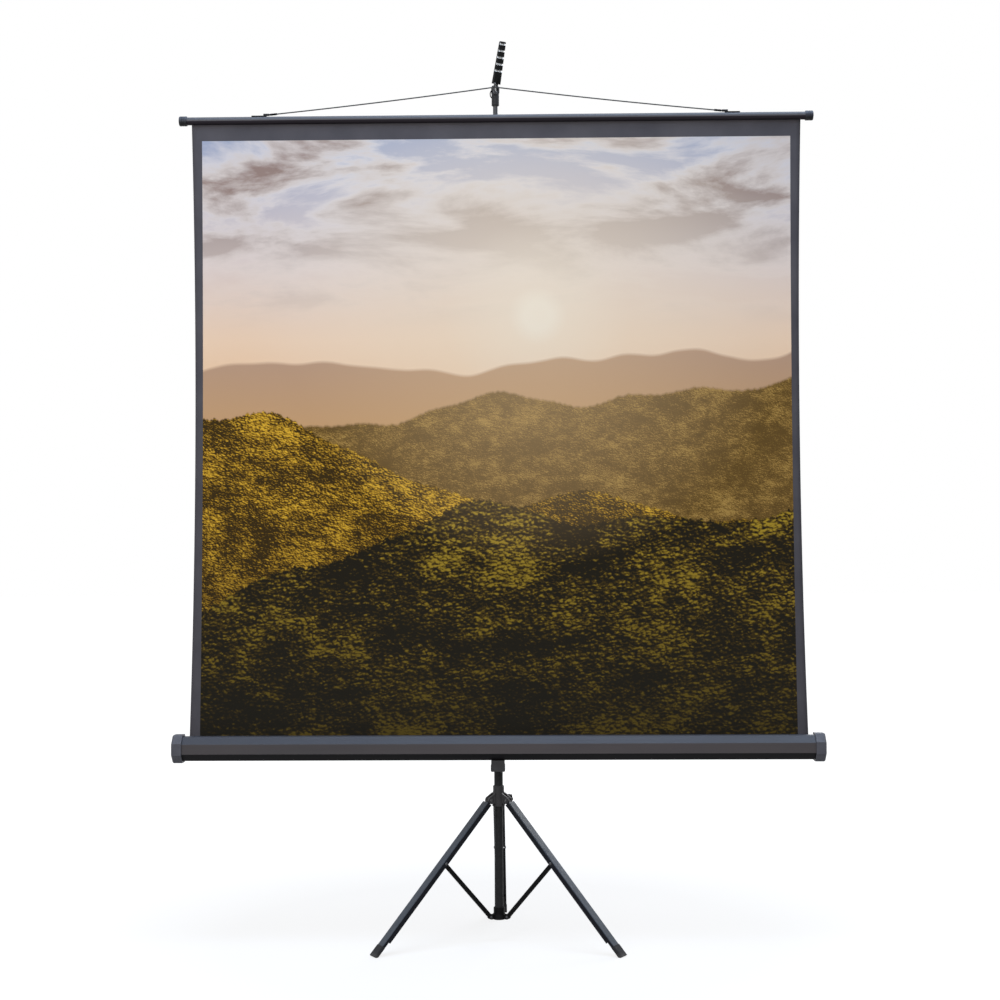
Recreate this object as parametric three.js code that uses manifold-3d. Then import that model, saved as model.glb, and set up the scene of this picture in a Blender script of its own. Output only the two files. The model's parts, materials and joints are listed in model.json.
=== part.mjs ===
// Tripod projection screen, set up for use.
// Millimetres, +Z up. The viewer stands on the -Y side and the screen faces -Y.
// The floor is z = 0. Everything is drawn about the post's axis, and the last lines move
// the finished screen so that the origin is the middle of its box on the floor.
import * as THREE from 'three';
import { mergeVertices } from 'three/addons/utils/BufferGeometryUtils.js';
import Module from 'manifold-3d';

const wasm = await Module();
wasm.setup();

// Clearances
const GAP = 0.3; // between pieces that sit against each other
const TONGUE_GAP = 0.5; // each side of a brace between its ears

// Post and extension rod
const POST_DIA = 22;
const POST_WALL = 1.2;
const POST_BOTTOM = 58;
const POST_TOP = 1290;
const ROD_DIA = 12.3;
const ROD_WALL = 1;
const ROD_BOTTOM = 900;
const ROD_TOP = 2148;
const BUSH_LENGTH = 25;
const COLLAR_DIA = 30;
const COLLAR_LAP = 22;
const COLLAR_NECK = 18;

// Tripod
const LEG_COUNT = 3;
const LEG_ANGLE = THREE.MathUtils.degToRad(42);
const PIVOT_RADIUS = 25; // leg pivots on the hub
const RING_PIVOT_RADIUS = 25; // brace pivots on the ring
const LINK = 196.3; // from a leg's pivot to its brace's pivot
const RING_PIVOT_Z = 62;
const LEG_WIDTH = 29;
const LEG_DEPTH = 12.5;
const LEG_SET_OUT = 1.5; // middle of the channel, outside the line of its pivots
const LEG_WALL = 1.5;
const LEG_CORNER = 2.5;
const LEG_START = 10.5;
const LEG_END = 448;
const HEEL_CUT = 4.5; // trimmed off the channel's open side at its lower end
const HEEL_LENGTH = 16;
const FOOT_END = 480;
const FOOT_SHELL = 1; // how far the rubber toe stands out past the channel
const FOOT_PLUG = 36;
const FOOT_EDGE = 3;
const KNUCKLE_PLUG = 32;
const KNUCKLE_TONGUE = 9;
const KNUCKLE_ROUND = 8;
const HUB_DIA = 32;
const HUB_COLLAR_DIA = 28;
const HUB_HEIGHT = 52;
const HUB_COLLAR_HEIGHT = 17;
const HUB_PIVOT_DROP = 36; // from the hub's top to its leg pivots
const HUB_EAR = 5;
const HUB_EAR_ROUND = 9;
const LEG_PIN_DIA = 5;
const BRACE_PIN_DIA = 4;
const BRACE_WIDTH = 11;
const BRACE_THICKNESS = 4;
const RING_DIA = 28;
const RING_FLANGE_DIA = 34;
const RING_FLANGE = 12;
const RING_HEIGHT = 30;
const RING_FLOOR = 3.5;
const RING_EAR = 3;
const RING_EAR_ROUND = 6;

// Lock knobs
const STUD_DIA = 6;
const BOSS_DIA = 14;
const BOSS_REACH = 8; // how far a knob's boss stands out of its piece
const KNOB_DIA = 26;
const KNOB_LOBE = 1.6;
const KNOB_LOBES = 6;
const KNOB_THICKNESS = 11;

// Case, roller and the screen's sheet
const CASE_OVERHANG = 36; // case past the sheet at each end
const CASE_FLATS = 60;
const CASE_WALL = 1.5;
const CASE_Z = 491;
const CASE_STANDOFF = 21; // from the post to the back of the case
const SLOT_HALF = 4;
const CAP_FLATS = 70;
const CAP_LENGTH = 25;
const CAP_WALL = 5;
const CAP_CHAMFER = 3;
const BEARING_DIA = 20;
const BEARING_LENGTH = 12;
const AXLE_DIA = 8;
const ROLLER_DIA = 32;
const ROLLER_WALL = 1.2;
const ROLLER_END_GAP = 2;
const PLUG_LENGTH = 24;
const WRAP_THICKNESS = 3.4;
const SPINDLE_LENGTH = 470;
const SPRING_WIRE = 2;
const SPRING_TURNS = 14;
const SPRING_STEPS = 8; // straight lengths in one turn
const SPRING_PITCH = 26;
const SHEET_WIDTH = 1554;
const SHEET_WAIST = 12.25; // how far each side edge draws in at mid height
const SHEET_THICKNESS = 1;
const PLATE_WIDTH = 48;
const PLATE_THICKNESS = 7.4;
const PLATE_TOP = 545;
const CARRIAGE_WIDTH = 40;
const CARRIAGE_BACK = 20;
const CARRIAGE_HEIGHT = 45;
const CARRIAGE_ROUND = 6;
const BLOCK_WIDTH = 35.6;
const BLOCK_NECK_WIDTH = 33.4;
const BLOCK_HEIGHT = 28;
const BLOCK_NECK_HEIGHT = 11;
const BLOCK_DEPTH = 36;
const BLOCK_CHAMFER = 2;

// Slat, hanger and keystone arm at the top
const SLAT_Z = 2086;
const SLAT_OVERHANG = 32; // slat past the sheet at each end
const SLAT_DIA = 20;
const SLAT_WALL = 1.5;
const SLAT_SLOT = 2.4;
const SLAT_CAP_DIA = 25;
const SLAT_CAP_LENGTH = 20;
const SLAT_CAP_WALL = 3;
const SLAT_CAP_ROUND = 2.5;
const SPLINE_DIA = 7;
const CLIP_INSET = 205; // from the slat's end to the middle of a clip
const CLIP_LENGTH = 38;
const CLIP_THICKNESS = 2.7;
const CLIP_HALF_ARC = THREE.MathUtils.degToRad(32);
const FERRULE_DIA = 6;
const FERRULE_LENGTH = 16;
const WIRE_DIA = 3;
const WIRE_RISE = 66; // from the clips' ferrules to the wire's top over the hook
const WIRE_SAG = 2.5;
const WIRE_CREST = 3; // half the width of the bend over the hook
const WIRE_SHARES = [0.02, 0.25, 0.5, 0.75, 0.965, 1]; // places along each half of the wire
const HOOK_DIA = 5;
const HOOK_BEND = 10;
const HEAD_DIA = 19.4;
const HEAD_BOTTOM = 2130;
const HEAD_HEIGHT = 36;
const HEAD_SOCKET = 20;
const FORK_EAR = 4;
const FORK_ROUND = 7;
const ARM_PIVOT_RISE = 9; // above the head's top
const ARM_PIN_DIA = 4;
const ARM_TONGUE = 8;
const ARM_LENGTH = 119;
const ARM_START = 12;
const ARM_DEPTH = 10;
const ARM_BASE_WIDTH = 21;
const ARM_TIP_WIDTH = 15;
const ARM_TURN = THREE.MathUtils.degToRad(30);
const ARM_LEAN = THREE.MathUtils.degToRad(20);
const NOTCH_COUNT = 5;
const NOTCH_PITCH = 16.7;
const NOTCH_FROM_TIP = 7;
const NOTCH_HEIGHT = 3.9;
const NOTCH_DEPTH = 6.5;
const NOTCH_SLOPE = THREE.MathUtils.degToRad(12);

// Values that follow from the ones above
const BRACE_REACH = PIVOT_RADIUS + LINK * Math.sin(LEG_ANGLE) - RING_PIVOT_RADIUS;
const BRACE_DROP = LINK * Math.cos(LEG_ANGLE);
const BRACE_LENGTH = Math.hypot(BRACE_REACH, BRACE_DROP);
const BRACE_ANGLE = Math.atan2(BRACE_REACH, BRACE_DROP);
const HUB_PIVOT_Z = RING_PIVOT_Z + 2 * BRACE_DROP;
const HUB_TOP = HUB_PIVOT_Z + HUB_PIVOT_DROP;
const HUB_BOTTOM = HUB_TOP - HUB_HEIGHT;
const HUB_BORE = POST_DIA / 2 + GAP;
const CASE_LENGTH = SHEET_WIDTH + 2 * CASE_OVERHANG;
const SLAT_LENGTH = SHEET_WIDTH + 2 * SLAT_OVERHANG;
const CLIP_X = SLAT_LENGTH / 2 - CLIP_INSET;
const CASE_Y = -(POST_DIA / 2 + CASE_STANDOFF + CASE_FLATS / 2);
const CASE_BACK = CASE_Y + CASE_FLATS / 2;
const WRAP_RADIUS = ROLLER_DIA / 2 + GAP + WRAP_THICKNESS;
const SHEET_Y = CASE_Y + WRAP_RADIUS + GAP + SHEET_THICKNESS / 2;
const PLATE_BACK = CASE_BACK + GAP + PLATE_THICKNESS;
const CARRIAGE_FRONT = PLATE_BACK + GAP;
const CARRIAGE_Z = PLATE_TOP - CARRIAGE_HEIGHT;
const ROLLER_LENGTH = CASE_LENGTH - 2 * (CAP_WALL + BEARING_LENGTH + ROLLER_END_GAP);
const CLIP_RADIUS = SLAT_DIA / 2 + GAP;
const FERRULE_Z = SLAT_Z + CLIP_RADIUS + CLIP_THICKNESS + FERRULE_DIA / 2 - 1;
const FERRULE_X = CLIP_X - CLIP_LENGTH / 2 - FERRULE_LENGTH / 2;
const WIRE_TOP = FERRULE_Z + WIRE_RISE;
const HOOK_Z = WIRE_TOP - WIRE_DIA / 2 - HOOK_DIA / 2 - 2 * GAP;
const ARM_PIVOT_Z = HEAD_BOTTOM + HEAD_HEIGHT + ARM_PIVOT_RISE;

// Directions a flat outline is stood up in
const OUT_AND_UP = new THREE.Matrix4().makeBasis(
  new THREE.Vector3(1, 0, 0),
  new THREE.Vector3(0, 0, 1),
  new THREE.Vector3(0, -1, 0),
);
const BACK_AND_UP = new THREE.Matrix4().makeBasis(
  new THREE.Vector3(0, 1, 0),
  new THREE.Vector3(0, 0, 1),
  new THREE.Vector3(1, 0, 0),
);

// Finishes
const BLUE_BLACK_STEEL = [0x23272f, 0.38, 0.55];
const BLACK_STEEL = [0x15161a, 0.42, 0.5];
const SATIN_ALUMINIUM = [0x2a2b31, 0.35, 0.6];
const BLACK_PLASTIC = [0x17181a, 0.55, 0];
const RUBBER = [0x101113, 0.85, 0];
const BRIGHT_STEEL = [0x9a9da2, 0.3, 0.9];
const MATT_SHEET = [0xe9e9e6, 0.9, 0];
const BLACK_SHEET = [0x141416, 0.9, 0];

function signedVolume(geometry) {
  const flat = geometry.index ? geometry.toNonIndexed() : geometry;
  const place = flat.attributes.position;
  const a = new THREE.Vector3();
  const b = new THREE.Vector3();
  const c = new THREE.Vector3();
  let total = 0;
  for (let i = 0; i < place.count; i += 3) {
    a.fromBufferAttribute(place, i);
    b.fromBufferAttribute(place, i + 1);
    c.fromBufferAttribute(place, i + 2);
    total += a.dot(b.cross(c)) / 6;
  }
  return total;
}

// A geometry with shared corners, faces out, that a boolean can use.
function closed(geometry) {
  const bare = geometry.clone();
  bare.deleteAttribute('normal');
  bare.deleteAttribute('uv');
  const merged = mergeVertices(bare, 1e-3);
  const corners = merged.index.array;
  const kept = [];
  for (let i = 0; i < corners.length; i += 3) {
    const [p, q, r] = [corners[i], corners[i + 1], corners[i + 2]];
    if (p !== q && q !== r && r !== p) kept.push(p, q, r);
  }
  merged.setIndex(kept);
  if (signedVolume(merged) < 0) merged.setIndex(kept.reverse());
  return merged;
}

function solid(geometry) {
  const body = closed(geometry);
  return new wasm.Manifold(new wasm.Mesh({
    numProp: 3,
    vertProperties: new Float32Array(body.attributes.position.array),
    triVerts: new Uint32Array(body.index.array),
  }));
}

function geometryOf(body) {
  const mesh = body.getMesh();
  const geometry = new THREE.BufferGeometry();
  geometry.setAttribute('position', new THREE.BufferAttribute(new Float32Array(mesh.vertProperties), 3));
  geometry.setIndex(new THREE.BufferAttribute(new Uint32Array(mesh.triVerts), 1));
  return geometry;
}

function joined(...geometries) {
  return geometryOf(geometries.map(solid).reduce((whole, next) => whole.add(next)));
}

function cut(geometry, ...tools) {
  return geometryOf(tools.map(solid).reduce((whole, tool) => whole.subtract(tool), solid(geometry)));
}

function piece(name, geometry, [color, roughness, metalness]) {
  const body = closed(geometry);
  body.computeVertexNormals();
  const mesh = new THREE.Mesh(body, new THREE.MeshStandardMaterial({ color, roughness, metalness }));
  mesh.name = name;
  return mesh;
}

// A profile of [radius, height] pairs turned about Z.
function turned(profile, segments = 24) {
  const points = profile.map(([radius, height]) => new THREE.Vector2(radius, height));
  const onAxis = profile[0][0] === 0;
  if (!onAxis) points.push(points[0].clone());
  return new THREE.LatheGeometry(points, segments).rotateX(Math.PI / 2);
}

// The same, turned about X, with its heights running towards +X.
function turnedAlongX(profile, segments = 24, start = 0) {
  return turned(profile, segments).rotateZ(start).rotateY(Math.PI / 2);
}

function extruded(outline, depth, segments = 5) {
  return new THREE.ExtrudeGeometry(outline, { depth, bevelEnabled: false, curveSegments: segments });
}

// An outline in radius and height, given a thickness across, centred at y.
function standing(outline, thickness, y = 0, segments = 5) {
  const plate = extruded(outline, thickness, segments).applyMatrix4(OUT_AND_UP);
  return plate.translate(0, y + thickness / 2, 0);
}

// An outline in depth and height, run along X from one place to another.
function running(outline, from, to, segments = 5) {
  return extruded(outline, to - from, segments).applyMatrix4(BACK_AND_UP).translate(from, 0, 0);
}

function box(width, depth, height, x, y, z) {
  return new THREE.BoxGeometry(width, depth, height).translate(x, y, z);
}

function tube(outer, wall, from, to) {
  const profile = [[outer / 2 - wall, from], [outer / 2, from], [outer / 2, to], [outer / 2 - wall, to]];
  return turned(profile, 24);
}

function roundHole(outline, x, y, radius) {
  const hole = new THREE.Path();
  hole.absarc(x, y, radius, 0, 2 * Math.PI, true);
  outline.holes.push(hole);
}

function roundedRectangle(left, bottom, right, top, corner) {
  const outline = new THREE.Shape();
  outline.moveTo(left + corner, bottom);
  outline.absarc(right - corner, bottom + corner, corner, -Math.PI / 2, 0, false);
  outline.absarc(right - corner, top - corner, corner, 0, Math.PI / 2, false);
  outline.absarc(left + corner, top - corner, corner, Math.PI / 2, Math.PI, false);
  outline.absarc(left + corner, bottom + corner, corner, Math.PI, 1.5 * Math.PI, false);
  return outline;
}

// Lock knobs, drawn along +X with the stud's tip at a given distance from the axis.
function knob(name, tip, bossEnd) {
  const grip = bossEnd + GAP;
  const outline = new THREE.Shape();
  const steps = KNOB_LOBES * 6;
  for (let i = 0; i < steps; i += 1) {
    const turn = (2 * Math.PI * i) / steps;
    const radius = KNOB_DIA / 2 - KNOB_LOBE + KNOB_LOBE * Math.cos(KNOB_LOBES * turn);
    outline.lineTo(radius * Math.cos(turn), radius * Math.sin(turn));
  }
  const handle = running(outline, grip, grip + KNOB_THICKNESS);
  const stud = turnedAlongX([[0, tip], [STUD_DIA / 2, tip], [STUD_DIA / 2, grip + 1], [0, grip + 1]], 16);
  return piece(name, joined(stud, handle), BLACK_PLASTIC);
}

function boss(from, to) {
  return turnedAlongX([[0, from], [BOSS_DIA / 2, from], [BOSS_DIA / 2, to], [0, to]], 20);
}

function studHole(to) {
  const radius = STUD_DIA / 2 + GAP;
  return turnedAlongX([[0, 0], [radius, 0], [radius, to + 1], [0, to + 1]], 16);
}

// Post
function postTube() {
  return piece('post_tube', tube(POST_DIA, POST_WALL, POST_BOTTOM, POST_TOP), BLACK_STEEL);
}

function postCollar() {
  const bore = ROD_DIA / 2 + GAP;
  const seat = POST_DIA / 2 + GAP;
  const outer = COLLAR_DIA / 2;
  const lip = POST_TOP + GAP;
  const top = lip + COLLAR_NECK;
  const body = turned([
    [seat, POST_TOP - COLLAR_LAP], [outer, POST_TOP - COLLAR_LAP], [outer, lip + COLLAR_NECK / 2],
    [outer - 3, top], [bore, top], [bore, lip], [seat, lip],
  ], 24);
  const height = lip + COLLAR_NECK / 2;
  const reach = outer + BOSS_REACH;
  const stub = boss(outer - 3, reach).rotateZ(Math.PI / 2).translate(0, 0, height);
  const hole = studHole(reach).rotateZ(Math.PI / 2).translate(0, 0, height);
  const screw = knob('rod_knob', ROD_DIA / 2 + GAP, reach);
  screw.rotation.z = Math.PI / 2;
  screw.position.z = height;
  return [piece('post_collar', cut(joined(body, stub), hole), BLACK_PLASTIC), screw];
}

// The cap on the post's foot, with a pair of ears for each brace.
function braceRing() {
  const seat = POST_DIA / 2 + GAP;
  const floor = POST_BOTTOM - GAP - RING_FLOOR;
  let body = solid(turned([
    [0, floor], [RING_FLANGE_DIA / 2 - 2, floor], [RING_FLANGE_DIA / 2, floor + 2],
    [RING_FLANGE_DIA / 2, floor + RING_FLANGE], [RING_DIA / 2, floor + RING_FLANGE + 4],
    [RING_DIA / 2, floor + RING_HEIGHT], [seat, floor + RING_HEIGHT], [seat, POST_BOTTOM - GAP],
    [0, POST_BOTTOM - GAP],
  ], 24));
  const outline = new THREE.Shape();
  outline.moveTo(RING_DIA / 2 - 1, RING_PIVOT_Z + RING_EAR_ROUND);
  outline.lineTo(RING_DIA / 2 - 1, RING_PIVOT_Z - RING_EAR_ROUND);
  outline.absarc(RING_PIVOT_RADIUS, RING_PIVOT_Z, RING_EAR_ROUND, -Math.PI / 2, Math.PI / 2, false);
  outline.closePath();
  roundHole(outline, RING_PIVOT_RADIUS, RING_PIVOT_Z, BRACE_PIN_DIA / 2);
  const side = BRACE_THICKNESS / 2 + TONGUE_GAP + RING_EAR / 2;
  for (const turn of legTurns()) {
    for (const y of [-side, side]) body = body.add(solid(standing(outline, RING_EAR, y).rotateZ(turn)));
  }
  return piece('brace_ring', geometryOf(body), BLACK_PLASTIC);
}

// Legs point straight back and forwards to each side.
function legTurns() {
  return Array.from({ length: LEG_COUNT }, (_, i) => Math.PI / 2 + (2 * Math.PI * i) / LEG_COUNT);
}

function hub() {
  const collar = HUB_COLLAR_DIA / 2;
  const outer = HUB_DIA / 2;
  const shoulder = HUB_TOP - HUB_COLLAR_HEIGHT;
  let body = solid(turned([
    [HUB_BORE, HUB_BOTTOM], [outer, HUB_BOTTOM], [outer, shoulder - 2], [collar, shoulder + 2],
    [collar, HUB_TOP - 1.5], [collar - 1.5, HUB_TOP], [HUB_BORE, HUB_TOP],
  ], 24));
  const outline = new THREE.Shape();
  outline.moveTo(outer - 2, shoulder - 1);
  outline.lineTo(outer - 2, HUB_PIVOT_Z - HUB_EAR_ROUND + 1);
  outline.absarc(PIVOT_RADIUS, HUB_PIVOT_Z, HUB_EAR_ROUND, -Math.PI / 2, Math.PI / 3, false);
  outline.closePath();
  roundHole(outline, PIVOT_RADIUS, HUB_PIVOT_Z, LEG_PIN_DIA / 2 + GAP);
  const side = KNUCKLE_TONGUE / 2 + GAP + HUB_EAR / 2;
  for (const turn of legTurns()) {
    for (const y of [-side, side]) body = body.add(solid(standing(outline, HUB_EAR, y).rotateZ(turn)));
  }
  const knobTurn = Math.PI / 2 - Math.PI / LEG_COUNT;
  const height = HUB_PIVOT_Z;
  const reach = outer + BOSS_REACH;
  body = body.add(solid(boss(outer - 3, reach).rotateZ(knobTurn).translate(0, 0, height)));
  body = body.subtract(solid(studHole(reach).rotateZ(knobTurn).translate(0, 0, height)));
  const screw = knob('hub_knob', POST_DIA / 2 + GAP, reach);
  screw.rotation.z = knobTurn;
  screw.position.z = height;
  return [piece('hub', geometryOf(body), BLACK_PLASTIC), screw];
}

// Legs, drawn hanging down from their pivot with the closed side at +X
function legChannel() {
  const half = LEG_WIDTH / 2;
  const face = LEG_DEPTH / 2;
  const outline = new THREE.Shape();
  outline.moveTo(-face, -half + LEG_WALL);
  outline.lineTo(-face, -half);
  outline.absarc(face - LEG_CORNER, -half + LEG_CORNER, LEG_CORNER, -Math.PI / 2, 0, false);
  outline.absarc(face - LEG_CORNER, half - LEG_CORNER, LEG_CORNER, 0, Math.PI / 2, false);
  outline.lineTo(-face, half);
  outline.lineTo(-face, half - LEG_WALL);
  const inner = LEG_CORNER - LEG_WALL;
  outline.absarc(face - LEG_CORNER, half - LEG_CORNER, inner, Math.PI / 2, 0, true);
  outline.absarc(face - LEG_CORNER, -half + LEG_CORNER, inner, 0, -Math.PI / 2, true);
  outline.closePath();
  const bar = extruded(outline, LEG_END - LEG_START, 4).translate(LEG_SET_OUT, 0, -LEG_END);
  const radius = BRACE_PIN_DIA / 2 + GAP;
  const hole = new THREE.CylinderGeometry(radius, radius, 2 * LEG_WIDTH, 16).translate(0, 0, -LINK);
  const heel = box(2 * HEEL_CUT, 2 * LEG_WIDTH, 2 * HEEL_LENGTH, LEG_SET_OUT - face, 0, -LEG_END);
  return cut(bar, hole, heel);
}

function legKnuckle() {
  const outline = new THREE.Shape();
  const face = LEG_DEPTH / 2 - LEG_WALL - GAP;
  outline.moveTo(LEG_SET_OUT - face, -LEG_START - 2);
  outline.lineTo(LEG_SET_OUT + face, -LEG_START - 2);
  outline.lineTo(LEG_SET_OUT + face, -LEG_START / 2);
  outline.absarc(0, 0, KNUCKLE_ROUND, 0, Math.PI, false);
  outline.lineTo(LEG_SET_OUT - face, -LEG_START / 2);
  outline.closePath();
  roundHole(outline, 0, 0, LEG_PIN_DIA / 2 + GAP);
  const depth = face + LEG_DEPTH / 2 - LEG_WALL;
  const width = LEG_WIDTH - 2 * (LEG_WALL + GAP);
  const middle = LEG_SET_OUT + face - depth / 2;
  const plug = box(depth, width, KNUCKLE_PLUG, middle, 0, -LEG_START - KNUCKLE_PLUG / 2);
  return joined(standing(outline, KNUCKLE_TONGUE), plug);
}

// Rubber feet fill the channel's end and are flat on the floor.
function legFoot(placing) {
  const face = LEG_DEPTH / 2 - LEG_WALL - GAP;
  const width = LEG_WIDTH - 2 * (LEG_WALL + GAP);
  const near = HEEL_CUT - LEG_DEPTH / 2;
  const depth = face - near;
  const plug = box(depth, width, FOOT_PLUG + 1, face - depth / 2, 0, -LEG_END + (FOOT_PLUG - 1) / 2);
  const far = LEG_DEPTH / 2 + FOOT_SHELL;
  const side = LEG_WIDTH / 2 + FOOT_SHELL;
  const outline = roundedRectangle(near - FOOT_SHELL, -side, far, side, FOOT_EDGE);
  const toe = extruded(outline, FOOT_END - LEG_END - GAP, 4).translate(0, 0, -FOOT_END);
  const boot = joined(plug, toe).translate(LEG_SET_OUT, 0, 0).applyMatrix4(placing);
  const air = box(4 * LEG_END, 4 * LEG_END, 2 * LEG_END, 0, 0, LEG_END);
  return geometryOf(solid(boot).intersect(solid(air)));
}

function pin(diameter, length) {
  return new THREE.CylinderGeometry(diameter / 2, diameter / 2, length, 16);
}

function brace() {
  const round = BRACE_WIDTH / 2;
  const outline = new THREE.Shape();
  outline.absarc(0, 0, round, 0, Math.PI, false);
  outline.absarc(0, -BRACE_LENGTH, round, Math.PI, 2 * Math.PI, false);
  outline.closePath();
  roundHole(outline, 0, 0, BRACE_PIN_DIA / 2 + GAP);
  roundHole(outline, 0, -BRACE_LENGTH, BRACE_PIN_DIA / 2);
  return standing(outline, BRACE_THICKNESS);
}

function legs() {
  const group = new THREE.Group();
  const placing = new THREE.Matrix4().makeRotationY(-LEG_ANGLE).setPosition(PIVOT_RADIUS, 0, HUB_PIVOT_Z);
  legTurns().forEach((turn, i) => {
    const number = i + 1;
    const whole = new THREE.Group();
    whole.rotation.z = turn;
    const leg = new THREE.Group();
    leg.applyMatrix4(placing);
    leg.add(piece(`leg_channel_${number}`, legChannel(), BLUE_BLACK_STEEL));
    leg.add(piece(`leg_knuckle_${number}`, legKnuckle(), BLACK_PLASTIC));
    const bracePin = piece(`brace_pin_${number}`, pin(BRACE_PIN_DIA, LEG_WIDTH), BRIGHT_STEEL);
    bracePin.position.z = -LINK;
    leg.add(bracePin);
    const strut = piece(`brace_${number}`, brace(), BLACK_STEEL);
    strut.position.z = -LINK;
    strut.rotation.y = LEG_ANGLE + BRACE_ANGLE;
    leg.add(strut);
    const grip = KNUCKLE_TONGUE + 2 * (GAP + HUB_EAR);
    const legPin = piece(`leg_pin_${number}`, pin(LEG_PIN_DIA, grip), BRIGHT_STEEL);
    legPin.position.set(PIVOT_RADIUS, 0, HUB_PIVOT_Z);
    whole.add(leg, legPin, piece(`leg_foot_${number}`, legFoot(placing), RUBBER));
    group.add(whole);
  });
  return group;
}

// Corner of a regular octagon with flat faces to the front, back, top and bottom
function octagonCorner(flats, number) {
  const radius = flats / 2 / Math.cos(Math.PI / 8);
  const turn = Math.PI / 8 + (number * Math.PI) / 4;
  return [radius * Math.cos(turn), radius * Math.sin(turn)];
}

// The case is an octagonal extrusion, open in its upper back face where the sheet comes out.
function caseShell() {
  const inside = CASE_FLATS - 2 * CASE_WALL;
  const lip = (flats, along) => {
    const middle = (flats / 2) * Math.SQRT1_2;
    return [middle - along * Math.SQRT1_2, middle + along * Math.SQRT1_2];
  };
  const outer = [1, 2, 3, 4, 5, 6, 7, 8].map((number) => octagonCorner(CASE_FLATS, number));
  const inner = [8, 7, 6, 5, 4, 3, 2, 1].map((number) => octagonCorner(inside, number));
  const around = [
    lip(CASE_FLATS, SLOT_HALF), ...outer, lip(CASE_FLATS, -SLOT_HALF),
    lip(inside, -SLOT_HALF), ...inner, lip(inside, SLOT_HALF),
  ];
  const outline = new THREE.Shape(around.map(([y, z]) => new THREE.Vector2(y, z)));
  const end = CASE_LENGTH / 2 - CAP_WALL - GAP;
  return piece('case_shell', running(outline, -end, end).translate(0, CASE_Y, CASE_Z), SATIN_ALUMINIUM);
}

// End caps are octagonal cups with a bearing for the roller. Side is 1 on the right.
function caseCap(name, side) {
  const corner = (flats) => flats / 2 / Math.cos(Math.PI / 8);
  const rim = corner(CAP_FLATS);
  const seat = corner(CASE_FLATS + 2 * GAP);
  const bore = corner(AXLE_DIA + 2 * GAP);
  const bearing = corner(BEARING_DIA);
  const cup = turnedAlongX([
    [0, 0], [rim - CAP_CHAMFER, 0], [rim, CAP_CHAMFER], [rim, CAP_LENGTH], [seat, CAP_LENGTH],
    [seat, CAP_WALL], [bearing, CAP_WALL], [bearing, CAP_WALL + BEARING_LENGTH],
    [bore, CAP_WALL + BEARING_LENGTH], [bore, CAP_WALL + 1], [0, CAP_WALL + 1],
  ], 8, Math.PI / 8);
  if (side > 0) cup.rotateZ(Math.PI);
  return piece(name, cup.translate((side * CASE_LENGTH) / 2, CASE_Y, CASE_Z), BLACK_PLASTIC);
}

// The mount behind the case: a plate on the case and a carriage that clamps the post.
function caseMount() {
  const outline = roundedRectangle(-PLATE_WIDTH / 2, CASE_Z - CASE_FLATS / 5, PLATE_WIDTH / 2, PLATE_TOP, 4);
  const plate = standing(outline, PLATE_THICKNESS, CASE_BACK + GAP + PLATE_THICKNESS / 2);
  const wide = CARRIAGE_WIDTH / 2;
  const section = roundedRectangle(-wide, CARRIAGE_FRONT, wide, CARRIAGE_BACK, CARRIAGE_ROUND);
  roundHole(section, 0, 0, POST_DIA / 2 + GAP);
  const body = extruded(section, CARRIAGE_HEIGHT, 8).translate(0, 0, CARRIAGE_Z);
  const height = CARRIAGE_Z + CARRIAGE_HEIGHT / 2;
  const hole = studHole(CARRIAGE_BACK).rotateZ(Math.PI / 2).translate(0, 0, height);
  const screw = knob('carriage_knob', POST_DIA / 2 + GAP, CARRIAGE_BACK);
  screw.rotation.z = Math.PI / 2;
  screw.position.z = height;
  return [
    piece('mount_plate', plate, BLACK_STEEL), piece('carriage', cut(body, hole), BLACK_PLASTIC), screw,
  ];
}

// The stepped block that hangs under the middle of the case.
function latchBlock() {
  const top = CASE_Z - CASE_FLATS / 2 - GAP;
  const bottom = top - BLOCK_HEIGHT;
  const step = top - BLOCK_NECK_HEIGHT;
  const wide = BLOCK_WIDTH / 2;
  const neck = BLOCK_NECK_WIDTH / 2;
  const right = [
    [wide - BLOCK_CHAMFER, bottom], [wide, bottom + BLOCK_CHAMFER], [wide, step - 1],
    [neck, step], [neck, top],
  ];
  const left = right.map(([x, z]) => [-x, z]).reverse();
  const outline = new THREE.Shape([...right, ...left].map(([x, z]) => new THREE.Vector2(x, z)));
  return piece('latch_block', standing(outline, BLOCK_DEPTH, CASE_Y), BLACK_PLASTIC);
}

// Roller, its spring and the turns of sheet left on it
class SpringPath extends THREE.Curve {
  getPoint(t) {
    const radius = (AXLE_DIA / 2 + GAP + SPRING_WIRE / 2) / Math.cos(Math.PI / SPRING_STEPS);
    const turn = 2 * Math.PI * SPRING_TURNS * t;
    const along = SPRING_TURNS * SPRING_PITCH * (t - 1);
    return new THREE.Vector3(along, radius * Math.cos(turn), radius * Math.sin(turn));
  }
}

function roundSection(diameter, sides) {
  const outline = new THREE.Shape();
  for (let i = 0; i < sides; i += 1) {
    const turn = (2 * Math.PI * i) / sides;
    outline.lineTo((diameter / 2) * Math.cos(turn), (diameter / 2) * Math.sin(turn));
  }
  return outline;
}

// A round bar along a path
function swept(path, diameter, sides, steps) {
  const options = { steps, extrudePath: path, bevelEnabled: false };
  return new THREE.ExtrudeGeometry(roundSection(diameter, sides), options);
}

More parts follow.
